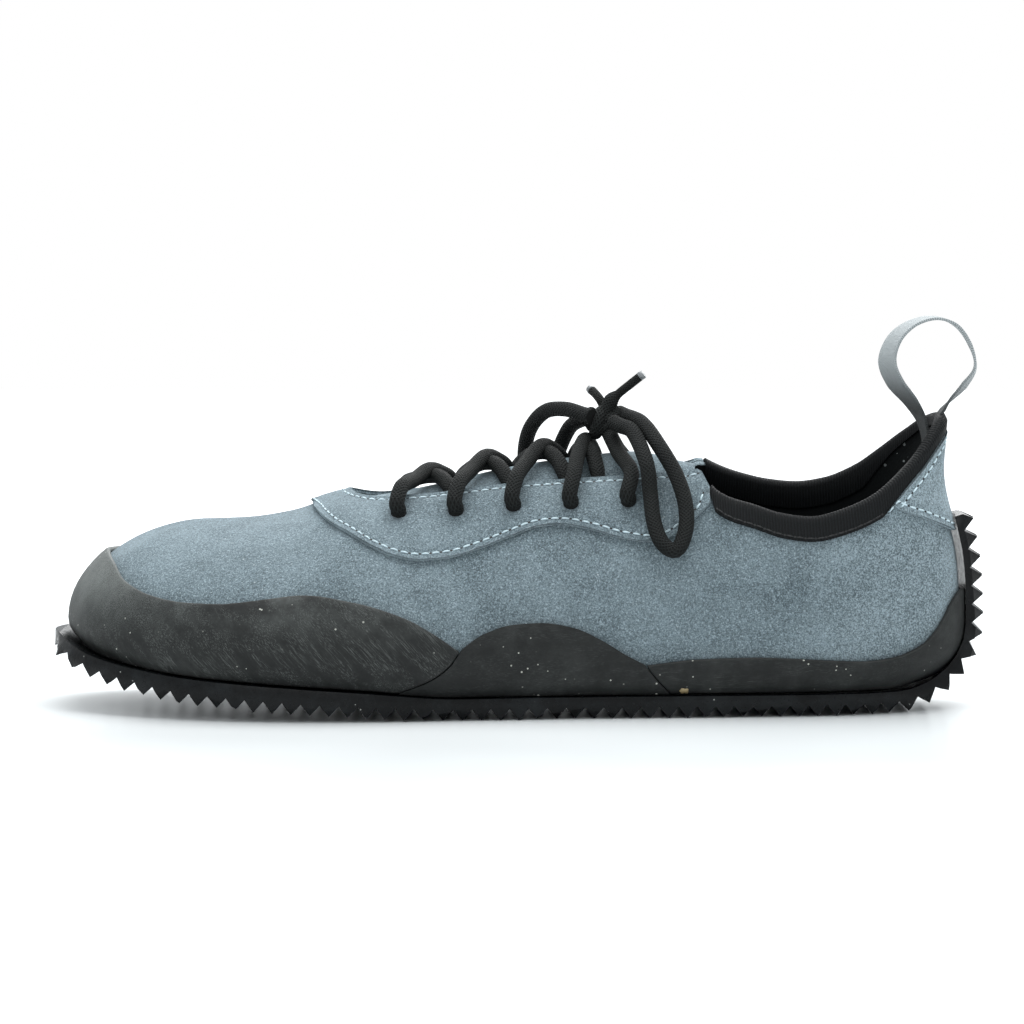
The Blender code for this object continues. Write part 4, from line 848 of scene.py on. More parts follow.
# How far from the shoe the floor starts to glow and glows in full, and how strongly
FLOOR_GLOW = (0.14, 0.62, 0.0, 0.70)
SKY_COLOUR = (0.94, 0.98, 1.0, 1.0)
SKY_STRENGTH = 0.80
SEEN_STRENGTH = 1.0
LIGHTS = (
    ("top light", (0.05, 0.15, 1.10), (0.0, 0.0, 0.05), (1.3, 1.1), 20.0),
    ("front light", (-0.35, -1.30, 0.75), (0.0, 0.0, 0.05), (0.9, 0.6), 3.5),
    ("back light", (0.30, 1.20, 0.70), (0.0, 0.0, 0.08), (1.2, 0.6), 12.0),
)


def linear(red, green, blue):
    """A colour picked on a screen, as light."""
    return tuple(
        (c / 255 / 12.92) if c <= 10 else ((c / 255 + 0.055) / 1.055) ** 2.4
        for c in (red, green, blue)
    )


class ShoeSizes(bpy.types.PropertyGroup):
    """Sizes of the dressed pieces that a user would change."""

    lace_diameter: bpy.props.FloatProperty(
        name="Lace", description="Thickness of the round lace", default=LACE_DIAMETER,
        min=0.002, max=0.008, unit="LENGTH",
    )
    stitch_pitch: bpy.props.FloatProperty(
        name="Stitch pitch", description="Distance from one stitch to the next",
        default=STITCH_PITCH, min=0.001, max=0.01, unit="LENGTH",
    )
    fold_strength: bpy.props.FloatProperty(
        name="Creases", description="Strength of the soft creases in the suede", default=1.5,
        min=0.0, max=2.0, subtype="FACTOR",
    )


def swatch(name, description, red, green, blue):
    return bpy.props.FloatVectorProperty(
        name=name, description=description, default=linear(red, green, blue),
        size=3, min=0, max=1, subtype="COLOR",
    )


class ShoeColours(bpy.types.PropertyGroup):
    """Colours of the shoe's finishes."""

    suede: swatch("Suede", "Blue-grey suede", 104, 119, 126)
    suede_pale: swatch("Brushed suede", "Where the nap is brushed up and catches light", 158, 174, 181)
    rand: swatch("Rand rubber", "Sanded black rubber round the foot", 22, 24, 24)
    sole: swatch("Sole rubber", "Black rubber of the studded sheet", 3, 4, 5)
    lace: swatch("Lace", "Charcoal braid", 16, 19, 19)
    ribbon: swatch("Binding", "Black ribbed ribbon round the collar", 8, 11, 13)
    # The pull loop's tone is paler than its own dark grey: painted reflection of the white surround
    loop_ribbon: swatch("Pull loop", "Dark grey woven ribbon", 138, 144, 146)
    thread: swatch("Thread", "Pale blue stitching", 196, 216, 224)
    lining: swatch("Lining", "Black lining and footbed", 11, 14, 15)


def sizes():
    return bpy.context.scene.shoe_sizes


def colours():
    return bpy.context.scene.shoe_colours


def finished_mesh(bm, name):
    mesh = bpy.data.meshes.new(name)
    bm.to_mesh(mesh)
    bm.free()
    return mesh


# Shader building

class Nodes:
    """A node tree, with short ways to add and join nodes."""

    def __init__(self, tree):
        self.tree = tree

    def add(self, kind, inputs=None, **settings):
        node = self.tree.nodes.new(kind)
        for key, value in settings.items():
            setattr(node, key, value)
        for key, value in (inputs or {}).items():
            self.feed(node.inputs[key], value)
        return node

    def feed(self, socket, value):
        if isinstance(value, bpy.types.NodeSocket):
            self.tree.links.new(value, socket)
        elif hasattr(value, "__len__") and len(value) == 3 and socket.type == "RGBA":
            socket.default_value = (*value, 1.0)
        else:
            socket.default_value = value

    def maths(self, operation, *values):
        node = self.add("ShaderNodeMath", operation=operation)
        for socket, value in zip(node.inputs, values):
            self.feed(socket, value)
        return node.outputs[0]

    def ramp(self, value, low, high, to_low=0.0, to_high=1.0):
        node = self.add(
            "ShaderNodeMapRange",
            {"Value": value, "From Min": low, "From Max": high, "To Min": to_low, "To Max": to_high},
            interpolation_type="SMOOTHSTEP",
        )
        return node.outputs["Result"]

    def noise(self, vector, scale, detail=2.0, roughness=0.5):
        node = self.add(
            "ShaderNodeTexNoise",
            {"Vector": vector, "Scale": scale, "Detail": detail, "Roughness": roughness},
        )
        return node.outputs["Fac"]

    def blend(self, share, first, second):
        node = self.add("ShaderNodeMix", data_type="RGBA", clamp_factor=True)
        self.feed(node.inputs["Factor"], share)
        self.feed(node.inputs["A"], first)
        self.feed(node.inputs["B"], second)
        return node.outputs["Result"]

    def stretched(self, vector, scale, turn=(0.0, 0.0, 0.0)):
        node = self.add("ShaderNodeMapping", {"Vector": vector, "Scale": scale, "Rotation": turn})
        return node.outputs["Vector"]

    def axes(self, vector):
        return self.add("ShaderNodeSeparateXYZ", {"Vector": vector}).outputs

    def mixed(self, *parts):
        """The sum of values, each times its share."""
        total = self.maths("MULTIPLY", *parts[0])
        for value, share in parts[1:]:
            total = self.maths("ADD", total, self.maths("MULTIPLY", value, share))
        return total

    def tones(self, share, colour, dark, light):
        """From a darker to a lighter tone of one colour."""
        return self.blend(share, tuple(c * dark for c in colour), tuple(c * light for c in colour))

    def over(self, colour, layer, mask, share):
        """One colour laid over another where a mask shows it."""
        return self.blend(self.maths("MULTIPLY", mask, share), colour, layer)


GROUPS = {}


def effect(name, given, found, build):
    """A shader node group with a vector and values in and values out, made once."""
    if name in GROUPS:
        return GROUPS[name]
    tree = bpy.data.node_groups.new(name, "ShaderNodeTree")
    tree.interface.new_socket("Vector", in_out="INPUT", socket_type="NodeSocketVector")
    for socket, default in given.items():
        made = tree.interface.new_socket(socket, in_out="INPUT", socket_type="NodeSocketFloat")
        made.default_value = default
    for socket in found:
        tree.interface.new_socket(socket, in_out="OUTPUT", socket_type="NodeSocketFloat")
    nodes = Nodes(tree)
    entry = nodes.add("NodeGroupInput")
    end = nodes.add("NodeGroupOutput")
    for socket, value in build(nodes, entry.outputs).items():
        nodes.feed(end.inputs[socket], value)
    GROUPS[name] = tree
    return tree


def nap_effect():
    """Suede's fine fibres, with larger brushed patches."""

    def build(n, given):
        place = given["Vector"]
        fibres = n.noise(place, 2300.0, 3.0, 0.75)
        clumps = n.noise(place, 950.0, 2.0, 0.6)
        patches = n.noise(place, 70.0, 4.0, 0.60)
        wide = n.noise(place, 24.0, 2.0, 0.5)
        speck = n.ramp(n.noise(place, 1900.0, 1.0, 0.5), 0.58, 0.70)
        mottle = n.mixed((fibres, 0.70), (clumps, 0.18), (patches, 0.12))
        return {
            "Mottle": n.ramp(mottle, 0.41, 0.59),
            "Brushed": n.ramp(n.mixed((patches, 0.6), (wide, 0.4)), 0.36, 0.66),
            "Fleck": speck,
            "Height": n.mixed((fibres, 0.6), (clumps, 0.4)),
        }

    return effect("Suede nap", {}, ("Mottle", "Brushed", "Fleck", "Height"), build)


def dust_effect():
    """Pale specks and soft smudges of dust."""

    def build(n, given):
        place = given["Vector"]
        spots = n.add("ShaderNodeTexVoronoi", {"Vector": place, "Scale": 420.0, "Randomness": 1.0})
        size = n.maths("MULTIPLY", given["Size"], n.noise(place, 90.0, 1.0))
        specks = n.maths("LESS_THAN", spots.outputs["Distance"], size)
        keep = n.ramp(n.noise(place, 55.0, 3.0, 0.7), 0.52, 0.60)
        smudge = n.ramp(n.noise(place, 48.0, 5.0, 0.72), 0.40, 0.78)
        return {"Specks": n.maths("MULTIPLY", specks, keep), "Smudge": smudge}

    return effect("Dust", {"Size": 0.22}, ("Specks", "Smudge"), build)


def sanding_effect():
    """Fine parallel scratches left by sanding, along the vector's x."""

    def build(n, given):
        place = given["Vector"]
        lines = n.noise(n.stretched(place, (120.0, 4600.0, 4600.0)), 1.0, 3.0, 0.75)
        thin = n.ramp(lines, 0.50, 0.64)
        broken = n.ramp(n.noise(n.stretched(place, (60.0, 300.0, 300.0)), 1.0, 2.0, 0.6), 0.36, 0.60)
        return {"Scratches": n.maths("MULTIPLY", thin, broken), "Height": lines}

    return effect("Sanding", {}, ("Scratches", "Height"), build)


def weave_effect():
    """Ribs across a ribbon and the crossing threads of a braid, from the piece's own map."""

    def build(n, given):
        along, across, _ = n.axes(given["Vector"])
        turn = n.maths("MULTIPLY", along, n.maths("DIVIDE", 2 * math.pi, given["Along"]))
        other = n.maths("MULTIPLY", across, n.maths("DIVIDE", 2 * math.pi, given["Across"]))
        first = n.maths("SINE", n.maths("ADD", turn, other))
        second = n.maths("SINE", n.maths("SUBTRACT", turn, other))
        plain = n.maths("SINE", turn)
        crossed = n.maths("MAXIMUM", first, second)
        fuzz = n.noise(given["Vector"], 2400.0, 2.0)
        return {
            "Ribs": n.maths("MULTIPLY_ADD", plain, 0.5, 0.5),
            "Braid": n.maths("MULTIPLY_ADD", crossed, 0.5, 0.5),
            "Fuzz": fuzz,
        }

    return effect("Weave", {"Along": 0.001, "Across": 0.001}, ("Ribs", "Braid", "Fuzz"), build)


FINISHED = {}


def material(name, build):
    """A material built once: build is given its nodes and its shader."""
    if name in FINISHED:
        return FINISHED[name]
    made = bpy.data.materials.new(name)
    made.use_nodes = True
    tree = made.node_tree
    shader = tree.nodes["Principled BSDF"]
    made.diffuse_color = (0.3, 0.3, 0.3, 1.0)
    build(Nodes(tree), shader)
    FINISHED[name] = made
    return made


def used(n, tree, **inputs):
    """A group's node in a material, fed with these values."""
    node = n.add("ShaderNodeGroup")
    node.node_tree = tree
    for key, value in inputs.items():
        n.feed(node.inputs[key], value)
    return node.outputs


def raised(n, shader, height, strength, distance):
    bump = n.add("ShaderNodeBump", {"Height": height, "Strength": strength, "Distance": distance})
    n.feed(shader.inputs["Normal"], bump.outputs["Normal"])


def object_place(n):
    return n.add("ShaderNodeTexCoord").outputs["Object"]


def map_place(n):
    return n.add("ShaderNodeTexCoord").outputs["UV"]


def suede_finish(name, pale, brushed):
    """Suede: pale is how far it goes to the brushed colour, brushed how strongly in patches."""

    def build(n, shader):
        place = object_place(n)
        nap = used(n, nap_effect(), Vector=place)
        dust = used(n, dust_effect(), Vector=place, Size=0.15)
        base = tuple(colours().suede)
        light = tuple(colours().suede_pale)
        deep = tuple(c * 0.42 for c in base)
        rear = n.ramp(n.axes(place)["X"], 0.070, 0.126, 0.0, 0.42)
        colour = n.blend(nap["Mottle"], deep, n.blend(rear, n.blend(pale, base, light), light))
        colour = n.over(colour, light, nap["Brushed"], brushed)
        colour = n.over(colour, light, nap["Fleck"], 0.45)
        colour = n.over(colour, linear(214, 222, 224), dust["Specks"], 0.5)
        n.feed(shader.inputs["Base Color"], colour)
        n.feed(shader.inputs["Roughness"], n.ramp(nap["Mottle"], 0.0, 1.0, 0.98, 0.88))
        shader.inputs["Specular IOR Level"].default_value = 0.18
        shader.inputs["Sheen Weight"].default_value = 0.22
        shader.inputs["Sheen Roughness"].default_value = 0.45
        shader.inputs["Sheen Tint"].default_value = (0.72, 0.84, 0.92, 1.0)
        raised(n, shader, nap["Height"], 0.55, 0.00035)

    return material(name, build)


def suede():
    return suede_finish("suede", 0.12, 0.10)


def suede_edge():
    return suede_finish("suede_raw_edge", 0.75, 0.5)


def suede_finishes(inner):
    """The finishes of a suede piece: its face, its inner side and its raw edge."""
    return suede(), inner, suede_edge()


def lining():
    def build(n, shader):
        place = object_place(n)
        grain = n.noise(place, 1900.0, 3.0, 0.6)
        colour = n.tones(grain, colours().lining, 0.6, 1.7)
        dust = used(n, dust_effect(), Vector=place, Size=0.34)
        rear = n.ramp(n.axes(place)["X"], 0.100, 0.122)
        colour = n.over(colour, linear(128, 134, 134), dust["Specks"], rear)
        n.feed(shader.inputs["Base Color"], colour)
        n.feed(shader.inputs["Roughness"], n.ramp(grain, 0.2, 0.8, 0.98, 0.85))
        shader.inputs["Specular IOR Level"].default_value = 0.2
        raised(n, shader, grain, 0.4, 0.0003)

    return material("lining", build)


def rand_rubber(name, turn, scratched):
    """Rand rubber, sanded along a line turned from the shoe's length by these degrees."""

    def build(n, shader):
        place = object_place(n)
        run = n.stretched(place, (1.0, 1.0, 1.0), (0.0, math.radians(turn), 0.0))
        sanding = used(n, sanding_effect(), Vector=run)
        dust = used(n, dust_effect(), Vector=place, Size=0.20)
        grain = n.noise(place, 1500.0, 3.0, 0.6)
        colour = n.tones(grain, colours().rand, 0.62, 1.35)
        # Towards the top and front of the toe rand the rubber is painted paler: partly painted
        # highlight where the top faces the light from above, partly sanding wear
        up = n.ramp(n.axes(place)["Z"], 0.020, 0.046)
        front = n.ramp(n.axes(place)["X"], -0.085, -0.128)
        rubbed = n.maths("MULTIPLY_ADD", n.ramp(sanding["Height"], 0.40, 0.60), 0.42, 0.10)
        sanded_and_top_lit = n.maths("MULTIPLY", n.maths("MULTIPLY", up, front), rubbed)
        # Dust smudges, laid on more strongly towards the top of the rand: partly dust, partly painted
        # highlight on the top
        colour = n.over(colour, linear(98, 103, 102), n.maths("MULTIPLY", up, dust["Smudge"]), 0.55)
        colour = n.over(colour, linear(92, 96, 94), dust["Smudge"], 0.16)
        colour = n.blend(sanded_and_top_lit, colour, linear(150, 156, 154))
        colour = n.over(colour, linear(96, 100, 98), sanding["Scratches"], scratched)
        colour = n.over(colour, linear(190, 192, 184), dust["Specks"], 0.8)
        n.feed(shader.inputs["Base Color"], colour)
        n.feed(shader.inputs["Roughness"], n.ramp(sanding["Height"], 0.3, 0.7, 0.56, 0.74))
        shader.inputs["Specular IOR Level"].default_value = 0.26
        raised(n, shader, n.mixed((sanding["Height"], 0.6), (grain, 0.4)), 0.35, 0.0003)

    return material(name, build)


def sole_rubber():
    def build(n, shader):
        place = object_place(n)
        dust = used(n, dust_effect(), Vector=place, Size=0.16)
        grain = n.noise(place, 900.0, 3.0, 0.6)
        colour = n.tones(grain, colours().sole, 0.7, 1.5)
        colour = n.over(colour, linear(84, 92, 96), dust["Smudge"], 0.10)
        colour = n.over(colour, linear(170, 172, 168), dust["Specks"], 0.7)
        n.feed(shader.inputs["Base Color"], colour)
        n.feed(shader.inputs["Roughness"], n.ramp(grain, 0.25, 0.75, 0.24, 0.42))
        shader.inputs["Specular IOR Level"].default_value = 0.17
        raised(n, shader, grain, 0.25, 0.0003)

    return material("sole_rubber", build)


def ribbon():
    def build(n, shader):
        weave = used(n, weave_effect(), Vector=map_place(n), Along=0.00092, Across=0.0011)
        n.feed(shader.inputs["Base Color"], n.tones(weave["Ribs"], colours().ribbon, 0.35, 1.5))
        n.feed(shader.inputs["Roughness"], n.ramp(weave["Fuzz"], 0.2, 0.8, 0.62, 0.85))
        shader.inputs["Specular IOR Level"].default_value = 0.2
        raised(n, shader, n.maths("MULTIPLY_ADD", weave["Fuzz"], 0.25, weave["Ribs"]), 0.8, 0.00022)

    return material("ribbon", build)


def loop_ribbon():
    def build(n, shader):
        weave = used(n, weave_effect(), Vector=map_place(n), Along=0.0007, Across=0.0009)
        # The ribbon is painted paler than its own dark grey, as painted reflection of the white
        # surround, and its tone goes dark towards its foot at the collar
        colour = n.tones(weave["Braid"], colours().loop_ribbon, 0.72, 1.25)
        low = n.ramp(n.axes(object_place(n))["Z"], 0.104, 0.088)
        colour = n.blend(low, colour, linear(40, 44, 45))
        n.feed(shader.inputs["Base Color"], colour)
        n.feed(shader.inputs["Roughness"], n.ramp(weave["Fuzz"], 0.2, 0.8, 0.68, 0.88))
        raised(n, shader, n.maths("MULTIPLY_ADD", weave["Fuzz"], 0.3, weave["Braid"]), 0.6, 0.00018)

    return material("loop_ribbon", build)


def lace_cord():
    def build(n, shader):
        weave = used(n, weave_effect(), Vector=map_place(n), Along=0.00115, Across=0.001204)
        # The braid's crossing threads go from near black to a pale tone: the braid's own pattern, with
        # painted highlight on the raised threads and painted shade between them
        colour = n.tones(n.ramp(weave["Braid"], 0.35, 0.95), colours().lace, 0.12, 1.7)
        colour = n.over(colour, linear(86, 88, 86), weave["Fuzz"], 0.10)
        n.feed(shader.inputs["Base Color"], colour)
        n.feed(shader.inputs["Roughness"], n.ramp(weave["Fuzz"], 0.2, 0.8, 0.70, 0.92))
        shader.inputs["Specular IOR Level"].default_value = 0.18
        raised(n, shader, n.maths("MULTIPLY_ADD", weave["Fuzz"], 0.3, weave["Braid"]), 1.0, 0.0006)

    return material("lace_cord", build)


def thread(name, colour, dark):
    def build(n, shader):
        place = object_place(n)
        strands = n.noise(place, 2600.0, 2.0, 0.5)
        n.feed(shader.inputs["Base Color"], n.tones(strands, colour, dark, 1.0))
        n.feed(shader.inputs["Roughness"], n.ramp(strands, 0.2, 0.8, 0.55, 0.75))
        raised(n, shader, strands, 0.4, 0.0001)

    return material(name, build)


def pale_thread():
    return thread("pale_thread", tuple(colours().thread), 0.72)


# Black thread, also used for the dark discs that paint the shade of the needle holes
def black_thread_and_hole_shade():
    return thread("black_thread_and_hole_shade", linear(16, 18, 20), 0.5)


def grained(name, scale, dark, light, gloss, relief):
    """A plain finish with two tones: gloss is its two roughnesses, relief its strength and depth."""

    def build(n, shader):
        grain = n.noise(object_place(n), scale, 2.0)
        n.feed(shader.inputs["Base Color"], n.blend(grain, linear(*dark), linear(*light)))
        n.feed(shader.inputs["Roughness"], n.ramp(grain, 0.2, 0.8, *gloss))
        raised(n, shader, grain, *relief)

    return material(name, build)


def aglet_plastic():
    return grained("aglet_plastic", 700.0, (84, 88, 90), (132, 136, 138), (0.25, 0.4), (0.2, 0.0002))


def dried_glue():
    return grained("dried_glue", 900.0, (120, 104, 74), (168, 152, 116), (0.35, 0.6), (0.4, 0.0003))


# The dressed surface of the last

def fold_depth(point, side, reach):
    """How far the soft creases take the surface in at a place on one side."""
    foot = (point.z - FOLD_FOOT) / FOLD_RUN
    if foot <= 0:
        return 0.0
    total = 0.0
    for at, x, z, turn, length, width, depth in FOLDS:
        if at != side:
            continue
        dx = point.x / MM - x
        dz = point.z / MM - z
        angle = math.radians(turn)
        along = (dx * math.cos(angle) + dz * math.sin(angle)) / length
        across = (dz * math.cos(angle) - dx * math.sin(angle)) / width
        if abs(along) < 2.5 and abs(across) < 2.5:
            total += depth * math.exp(-along * along - across * across)
    return total * MM * min(1.0, foot) * min(1.0, reach / FOLD_RUN) * sizes().fold_strength


KEYS = {}
PLACES = {}


def place_on_last(station, side, rise):
    """The last's point and normal: rise is 0 at the foot, 1 rand, 2 stay, 3 binding, 4 top edge."""
    key = (round(station, 4), side, round(rise, 4))
    if key in PLACES:
        return PLACES[key]
    keys = KEYS.setdefault((round(station, 4), side), key_shares(station, side))
    i = min(3, int(rise))
    share = mix(keys[i], keys[i + 1], rise - i)
    lean = 0.0
    if SLANT[0][0] < station < SLANT[-1][0]:
        lean = SLANT_TABLE.at(station, "slant") * max(0.0, 1 - rise)
    at = station + lean
    cut = section(at, side)
    point = cut.point(share)
    normal = normal_of(at, side, share)
    fade = min(1.0, station / FOLD_FADE, (100 - station) / FOLD_FADE)
    depth = fold_depth(point, side, cut.flat(share).x) * fade
    PLACES[key] = (point - normal * depth, normal)
    return PLACES[key]


def fine_stations():
    """Stations of the dressed grid: close together where an edge turns."""
    stay_front = station_at(STAY_FRONT_X)
    throat_front = station_at(THROAT_FRONT_X)
    stay_round = station_at(STAY_FRONT_X + STAY_FRONT_ROUND) - stay_front
    throat_round = station_at(THROAT_FRONT_X + THROAT_ROUND) - throat_front
    joints = {TOE_SIDE_JOINT, SIDE_HEEL_JOINT, THROAT_END, STAY_END, BINDING_START, PATCH_START}
    firm = joints | {0.0, 100.0, stay_front, throat_front}
    found = set(firm)
    found |= {i * TOE_STEP for i in range(int(30 / TOE_STEP) + 1)}
    found |= {30 + i * STATION_STEP for i in range(int(70 / STATION_STEP) + 1)}
    for front, run in ((stay_front, stay_round), (throat_front, throat_round)):
        found |= {front + run * (1 - math.cos(math.pi / 2 * i / 10)) for i in range(11)}
    ordered = []
    for station in sorted(found):
        if ordered and station - ordered[-1] < 0.12:
            if station in firm:
                ordered[-1] = station
            continue
        ordered.append(station)
    return ordered


FINE = {}


def even(share):
    return share


def close_low(share):
    return share**1.6


def close_high(share):
    return 1 - (1 - share) ** 1.6


def close_both(share):
    return (1 - math.cos(math.pi * share)) / 2


def band(side, first, last, low, high, steps, lift, spread=even):
    """Strips of places between two stations and two rises, set off from the last by lift."""
    if not FINE:
        FINE["stations"] = fine_stations()
    strips = []
    for station in FINE["stations"]:
        if not first - 1e-6 <= station <= last + 1e-6:
            continue
        strip = []
        for step in range(steps + 1):
            point, normal = place_on_last(station, side, mix(low, high, spread(step / steps)))
            strip.append(point + normal * lift)
        strips.append(strip)
    return strips


def joined_bands(*bands):
    """Bands that lie above each other, as one."""
    strips = [list(strip) for strip in bands[0]]
    for band_above in bands[1:]:
        for strip, more in zip(strips, band_above):
            strip.extend(more[1:])
    return strips


def add_strips(bm, strips, layer):
    """Faces between strips, with a map in metres: along the strips' run and up them."""
    up = []
    for strip in strips:
        lengths = [0.0]
        for a, b in zip(strip, strip[1:]):
            lengths.append(lengths[-1] + (b - a).length)
        up.append(lengths)
    middle = len(strips[0]) // 2
    along = [0.0]
    for a, b in zip(strips, strips[1:]):
        along.append(along[-1] + (b[middle] - a[middle]).length)
    verts = [[bm.verts.new(point) for point in strip] for strip in strips]
    for i in range(len(strips) - 1):
        for j in range(len(strips[0]) - 1):
            corners = ((i, j), (i + 1, j), (i + 1, j + 1), (i, j + 1))
            kept = []
            for corner in corners:
                point = strips[corner[0]][corner[1]]
                if all((point - strips[k][m]).length > 0.003 * MM for k, m in kept):
                    kept.append(corner)
            if len(kept) < 3:
                continue
            face = bm.faces.new([verts[k][m] for k, m in kept])
            face.smooth = True
            for loop, (k, m) in zip(face.loops, kept):
                loop[layer].uv = (along[k], up[k][m])


def surface_mesh(name, bands, outward):
    """An open surface from bands, facing outward at the place that outward names."""
    bm = bmesh.new()
    layer = bm.loops.layers.uv.new("map")
    for strips in bands:
        add_strips(bm, strips, layer)
    bmesh.ops.remove_doubles(bm, verts=bm.verts, dist=0.01 * MM)
    bmesh.ops.recalc_face_normals(bm, faces=bm.faces)
    place, direction = outward
    nearest = min(bm.faces, key=lambda face: (face.calc_center_median() - place).length)
    if nearest.normal.dot(direction) < 0:
        bmesh.ops.reverse_faces(bm, faces=bm.faces)
    mesh = finished_mesh(bm, name)
    return mesh


def new_piece(name, mesh, *materials):
    piece = bpy.data.objects.new(name, mesh)
    bpy.context.scene.collection.objects.link(piece)
    for finish in materials:
        mesh.materials.append(finish)
    return piece


def settled(piece):
    """The same piece with its modifiers applied to its mesh."""
    bpy.context.view_layer.update()
    graph = bpy.context.evaluated_depsgraph_get()
    mesh = bpy.data.meshes.new_from_object(
        piece.evaluated_get(graph), preserve_all_data_layers=True, depsgraph=graph,
    )
    piece.modifiers.clear()
    piece.data = mesh
    for face in mesh.polygons:
        face.use_smooth = True
    return piece


def soft_edge(piece, width, segments, degrees):
    soft = piece.modifiers.new("soft edge", "BEVEL")
    soft.width = width
    soft.segments = segments
    soft.limit_method = "ANGLE"
    soft.angle_limit = math.radians(degrees)


def skin(node, bands, outward, finishes, thickness, edge=0.0, inner=0, rim=0):
    """A surface from bands made solid, outward if its thickness is positive, with rounded edges."""
    name = node + "_skin"
    piece = new_piece(name, surface_mesh(name, bands, outward), *finishes)
    wall = piece.modifiers.new("wall", "SOLIDIFY")
    wall.thickness = abs(thickness)
    wall.offset = 1.0 if thickness > 0 else -1.0
    wall.material_offset = inner
    wall.material_offset_rim = rim
    if edge:
        soft_edge(piece, edge, 3, 50)
    return settled(piece)


def dressed(piece, node):
    """The piece rides with the shoe and stands for its plain solid."""
    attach(piece, "root")
    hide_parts(node)


def tree_of(piece):
    mesh = piece.data
    places = [v.co.copy() for v in mesh.vertices]
    return BVHTree.FromPolygons(places, [tuple(p.vertices) for p in mesh.polygons])


# Stitches

def even_line(points, step):
    """Points at even steps along a line."""
    lengths = [0.0]
    for a, b in zip(points, points[1:]):
        lengths.append(lengths[-1] + (b - a).length)
    count = max(1, round(lengths[-1] / step))
    line = []
    at = 0
    for i in range(count + 1):
        reach = lengths[-1] * i / count
        while at < len(points) - 2 and lengths[at + 1] < reach:
            at += 1
        gap = max(1e-9, lengths[at + 1] - lengths[at])
        share = min(1.0, max(0.0, (reach - lengths[at]) / gap))
        line.append(points[at].lerp(points[at + 1], share))
    return line


def inset_line(edge, inward, inset):
    """The edge's line moved in over the surface; inward points give the way."""
    moved = []
    for i, (point, guide) in enumerate(zip(edge, inward)):
        ahead = edge[min(len(edge) - 1, i + 1)] - edge[max(0, i - 1)]
        across = guide - point
        if ahead.length > 1e-9:
            across -= ahead.normalized() * across.dot(ahead.normalized())
        moved.append(point + across.normalized() * inset)
    return moved


def ring_angles(sides):
    return [2 * math.pi * s / sides for s in range(sides)]


def stitched(name, line, tree, finish, width=STITCH_WIDTH):
    """A row of stitches that lies on the surface, with a small dark disc between each two: painted
    shade of the needle hole.
    """
    places = even_line(line, sizes().stitch_pitch / 6)
    bm = bmesh.new()
    count = (len(places) - 1) // 6
    hole_shade_discs = []
    for k in range(count):
        start, middle, end = places[6 * k], places[6 * k + 3], places[6 * k + 6]
        hole_shade_discs.append((start, middle - start))
        near, normal, _, _ = tree.find_nearest(middle)
        if near is None:
            continue
        ahead = (end - start).normalized()
        side = normal.cross(ahead).normalized()
        rings = []
        for along, wide, high in STITCH_SHAPE:
            centre = near + ahead * along * STITCH_LENGTH
            hit, facing, _, _ = tree.find_nearest(centre)
            centre = hit + facing * (high * width * 0.5)
            radius = max(0.02, wide) * width * 0.5
            rings.append([
                bm.verts.new(centre + (side * math.cos(a) + facing * math.sin(a) * 0.85) * radius)
                for a in ring_angles(STITCH_SIDES)
            ])
        for a, b in zip(rings, rings[1:]):
            for s in range(STITCH_SIDES):
                t = (s + 1) % STITCH_SIDES
                face = bm.faces.new((a[s], a[t], b[t], b[s]))
                face.smooth = True
    hole_shade_discs.append((places[6 * count], places[6 * count] - places[6 * count - 3]))
    # Each needle hole is a flat dark disc in the black thread's finish: painted shade of the hole
    for centre, ahead in hole_shade_discs:
        hit, facing, _, _ = tree.find_nearest(centre)
        side = facing.cross(ahead).normalized()
        front = side.cross(facing).normalized()
        ring = [
            front * math.cos(a) * HOLE_SHADE_LENGTH / 2 + side * math.sin(a) * HOLE_SHADE_WIDTH / 2
            for a in ring_angles(8)
        ]
        face = bm.faces.new([bm.verts.new(hit + facing * HOLE_SHADE_LIFT + off) for off in ring])
        face.material_index = 1
    bmesh.ops.recalc_face_normals(bm, faces=[f for f in bm.faces if f.material_index == 0])
    mesh = finished_mesh(bm, name)
    piece = new_piece(name, mesh, finish, black_thread_and_hole_shade())
    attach(piece, "root")


def sunk(piece, lines):
    """The surface drawn in along the stitch lines."""
    points = [p for line in lines for p in even_line(line, 0.6 * MM)]
    tree = KDTree(len(points))
    for i, point in enumerate(points):
        tree.insert(point, i)
    tree.balance()
    mesh = piece.data
    normals = [v.normal.copy() for v in mesh.vertices]
    for vert, normal in zip(mesh.vertices, normals):
        _, _, distance = tree.find(vert.co)
        if distance < 3 * STITCH_SINK_WIDTH:
            vert.co -= normal * STITCH_SINK * math.exp(-((distance / STITCH_SINK_WIDTH) ** 2))


def edge_line(side, first, last, rise, lift):
    return [strip[0] for strip in band(side, first, last, rise, rise, 1, lift)]


def rear_line(side, station, low, high, steps, lift):
    points = []
    for step in range(steps + 1):
        point, normal = place_on_last(station, side, mix(low, high, step / steps))
        points.append(point + normal * lift)
    return points


def inset_edge(side, first, last, rise, guide, lift, inset=STITCH_INSET):
    """The line at one rise, moved in towards a second rise."""
    edge = edge_line(side, first, last, rise, lift)
    return inset_line(edge, edge_line(side, first, last, guide, lift), inset)


def clear_of(line, place, gap):
    return [point for point in line if (point - place).length > gap]


# Pieces

def make_upper():
    bands = [
        joined_bands(
            band(side, 0, 100, 0, 1, RAND_STEPS, 0.0),
            band(side, 0, 100, 1, 2, SIDE_STEPS, 0.0),
            band(side, 0, 100, 2, 3, STAY_STEPS, 0.0),
            band(side, 0, 100, 3, 4, BINDING_STEPS, 0.0),
        )
        for side in (-1, 1)
    ]
    finishes = suede_finishes(lining())
    piece = skin("upper", bands, place_on_last(60, -1, 1.5), finishes, -UPPER_WALL, inner=1, rim=2)
    punch(piece)
    dressed(piece, "upper")


